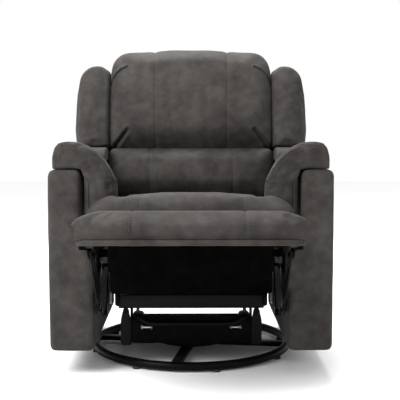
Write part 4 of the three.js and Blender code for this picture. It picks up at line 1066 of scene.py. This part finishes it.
def easedCopy(node):
    look = easedLook
    shape = bmesh.new()
    shape.from_mesh(frame["nodes"][node].data)
    bmesh.ops.remove_doubles(shape, verts=shape.verts, dist=0.00001)
    bmesh.ops.dissolve_limit(shape, angle_limit=math.radians(1), verts=shape.verts, edges=shape.edges)
    sharp = [edge for edge in shape.edges if len(edge.link_faces) == 2
             and edge.calc_face_angle(0) > math.radians(look["sharp"])]
    bevel(shape, sharp, look["width"] / 1000, 2, clamp=True)
    piece = pieceFrom(node + "_eased", shape)
    shadeByAngle(piece, look["smooth"])
    slot = "black_cloth" if node in look["wrapped"] else slotOf[node]
    finish = mattSteel if node.startswith(look["matt"]) else None
    settle(piece, slot, frame["nodes"][node]["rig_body"], [node], finish)


def makeMetalwork():
    for node in easedLook["plain"] + [f"{each}_{name}" for each in easedLook["paired"] for name, side in sides]:
        easedCopy(node)
    print("metalwork eased")


def makeRearMember():
    # a shallow channel, so that the floor shows between it and the base
    shape = bmesh.new()
    slab(shape, bothWays([(189.5, 76, 5), (189.5, 132.5, 5)]), -235, -205.2, 2, 3, 3, 3)
    front = max(shape.faces, key=lambda face: face.calc_area() if face.normal.z > 0.9 else 0)
    bmesh.ops.inset_region(shape, faces=[front], thickness=3.5, depth=-24)
    makeHard("platform_rear_channel", turned(shape, seenFromFront), "black_steel", "platform", ["platform_rear"])


endLook = {
    "plate": ([(189, 48, 3), (221, 48, 8), (221, 128, 10), (212, 168, 8), (196, 168, 8), (189, 128, 6)],
              236, 240, 1, 1, 3, 4),
    "rivet": (204, -242.5, 146),
}
stopLook = {
    "half": [(174, -236, 139), (163, -243, 137), (152, -247.5, 131), (140, -249, 123), (126, -249, 119),
             (105, -249, 118)],
    "radius": 7.5,
    "lug": ([(148, 130, 2), (184, 130, 2), (184, 146, 7), (176, 152, 5), (156, 152, 5), (148, 146, 7)],
            206, 233, 2, 2, 3, 3),
    # place along X, radius, length and sides of each bolt's shank, head and nut
    "bolt": [(139, 3.6, 34, 18), (124, 6.5, 5, 6), (154, 6.5, 5, 6)], "boltY": -241.5, "boltZ": 106,
}


def makePlatformEnds():
    # pressed plates that close the front ends of the two rails
    for name, side in sides:
        shape = slabs(seenFromFront, endLook["plate"])
        addRod(shape, Matrix.Translation(endLook["rivet"]) @ alongY, 8, 7, 24, 7)
        makeHard(f"platform_end_{name}", mirrored(shape, side), "black_steel", "platform")


def sweptTube(shape, path, radius, sides=16):
    loops = []
    for at, point in enumerate(path):
        before, after = Vector(path[max(at - 1, 0)]), Vector(path[min(at + 1, len(path) - 1)])
        facing = (after - before).to_track_quat("Z", "Y").to_matrix().to_4x4()
        ring = bmesh.ops.create_circle(shape, cap_ends=at in (0, len(path) - 1), segments=sides, radius=radius,
                                       matrix=Matrix.Translation(point) @ facing)["verts"]
        loops.append(list({edge for vert in ring for edge in vert.link_edges}))
    for first, second in zip(loops, loops[1:]):
        bmesh.ops.bridge_loops(shape, edges=first + second)


def makeStopBar():
    # bent bar across the front of the platform, held by two lugs on its top edge
    half = stopLook["half"]
    shape = bmesh.new()
    sweptTube(shape, [(-x, y, z) for x, y, z in half] + half[::-1], stopLook["radius"])
    makeHard("platform_stop_bar", shape, "black_steel", "platform", degrees=50)
    for name, side in sides:
        shape = mirrored(slabs(seenFromFront, stopLook["lug"]), side)
        makeHard(f"platform_lug_{name}", shape, "black_steel", "platform")
        shape = bmesh.new()
        for x, radius, length, flats in stopLook["bolt"]:
            place = Matrix.Translation((side * x, stopLook["boltY"], stopLook["boltZ"])) @ alongX
            addRod(shape, place, radius, length, flats)
        makeHard(f"platform_bolt_{name}", shape, "zinc_steel", "platform")


springLook = {"low": (246, -294, 192), "high": (246, -212, 322), "turns": 44, "steps": 12, "coil": 4.2, "wire": 1.3}


def spunRing(shape, ringRadius, height, radius, sides, steps, turns=1, climb=0, merge=False):
    # a round section taken about the Z axis, and up it for a coil
    section = bmesh.ops.create_circle(shape, segments=sides, radius=radius,
                                      matrix=Matrix.Translation((ringRadius, 0, height)) @ alongY)["verts"]
    edges = {edge for vert in section for edge in vert.link_edges}
    bmesh.ops.spin(shape, geom=[*section, *edges], cent=(0, 0, 0), axis=(0, 0, 1), dvec=(0, 0, climb),
                   angle=2 * math.pi * turns, steps=steps, use_merge=merge)


def makeSprings():
    # two zinc tension springs from the foot of the frame up to the front tube
    look = springLook
    steps = look["turns"] * look["steps"]
    for name, side in sides:
        low, high = (Vector((side * x, y, z)) for x, y, z in (look["low"], look["high"]))
        along = high - low
        shape = bmesh.new()
        spunRing(shape, look["coil"], 0, look["wire"], 6, steps, look["turns"], along.length / steps)
        bmesh.ops.holes_fill(shape, edges=[edge for edge in shape.edges if edge.is_boundary])
        turned(shape, Matrix.Translation(low) @ along.to_track_quat("Z", "Y").to_matrix().to_4x4())
        makeHard(f"return_spring_{name}", shape, "zinc_steel", "chair_frame", degrees=180)


ringLook = {"radius": 323, "height": 18.2, "tube": 13.6, "sides": 20, "steps": 128}
tubeLook = {"front": -200, "rear": 110, "height": 334, "length": 564.8, "radius": 12.7, "rim": 1.2}
footLook = {"count": 8, "height": 8.4, "radius": 15, "topRadius": 13.5, "rim": 1.4}


def makeRing():
    shape = bmesh.new()
    spunRing(shape, ringLook["radius"], ringLook["height"], ringLook["tube"], ringLook["sides"], ringLook["steps"],
             merge=True)
    makeHard("floor_ring", shape, "black_steel", "base", ["base_ring"], basePlace, 180)


def makeTubes():
    for name in ("front", "rear"):
        shape = bmesh.new()
        place = Matrix.Translation((0, tubeLook[name], tubeLook["height"])) @ alongX
        addRod(shape, place, tubeLook["radius"], tubeLook["length"])
        easeRims(shape, tubeLook["rim"])
        makeHard(f"{name}_tube", shape, "black_steel", "chair_frame", [f"{name}_cross_tube"])


def makeFeet():
    look = footLook
    for at in range(1, look["count"] + 1):
        low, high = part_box(f"base_foot_{at}")
        centre = (low + high) / 2 * 1000
        shape = bmesh.new()
        addRod(shape, Matrix.Translation((centre.x, centre.y, look["height"] / 2)), look["radius"], look["height"],
               endRadius=look["topRadius"])
        easeRims(shape, look["rim"])
        makeHard(f"floor_foot_{at}", shape, "rubber", "base", [f"base_foot_{at}"], toMetres)


makeMetalwork()
makeRearMember()
makePlatformEnds()
makeStopBar()
makeSprings()
makeRing()
makeTubes()
makeFeet()


# Studio

studio = {
    "lens": 76.5, "cameraY": -2860, "cameraZ": 725, "pitch": 4.8, "yaw": 0.6, "aim": (0, -50, 450),
    # place, size and power of each lamp
    "key": (-1700, -1900, 2300, 1.6, 130), "fill": (1500, -1900, 1500, 1.6, 1), "top": (-250, 700, 3000, 2.0, 190),
    "world": 1.0, "floor": 0.93, "floorSize": 9000,
}


def addArea(name):
    x, y, z, size, power = studio[name]
    light = bpy.data.lights.new(name, "AREA")
    light.shape = "SQUARE"
    light.size = size
    light.energy = power
    lamp = addObject(name, light)
    lamp.location = chairPlace @ Vector((x, y, z))
    aim = chairPlace @ Vector(studio["aim"])
    lamp.rotation_euler = (aim - lamp.location).to_track_quat("-Z", "Y").to_euler()


def makeStudio():
    shape = bmesh.new()
    bmesh.ops.create_grid(shape, x_segments=1, y_segments=1, size=studio["floorSize"])
    floor = makePiece("floor", shape, floorPlace)
    material, tree, shader, place = newMaterial("studio floor", {"Roughness": 0.8, "Specular IOR Level": 0.1})
    pale = studio["floor"]
    colourBy(tree, shader, noiseOf(tree, place, 0.8, 2), [(0.3, (pale,) * 3), (0.7, (pale + 0.02,) * 3)])
    floor.data.materials.append(material)

    world = bpy.data.worlds.new("studio")
    world.use_nodes = True
    setSockets(world.node_tree.nodes["Background"], {"Color": (1, 1, 1, 1), "Strength": studio["world"]})
    bpy.context.scene.world = world
    for name in ("key", "fill", "top"):
        addArea(name)

    camera = bpy.data.cameras.new("camera")
    camera.lens = studio["lens"]
    camera.sensor_width = 36
    viewer = addObject("camera", camera)
    viewer.location = chairPlace @ Vector((0, studio["cameraY"], studio["cameraZ"]))
    viewer.rotation_euler = (math.radians(90 - studio["pitch"]), 0, math.radians(-studio["yaw"]))
    bpy.context.scene.camera = viewer
    bpy.context.scene.view_settings.view_transform = "Standard"
    print("studio made")


makeStudio()
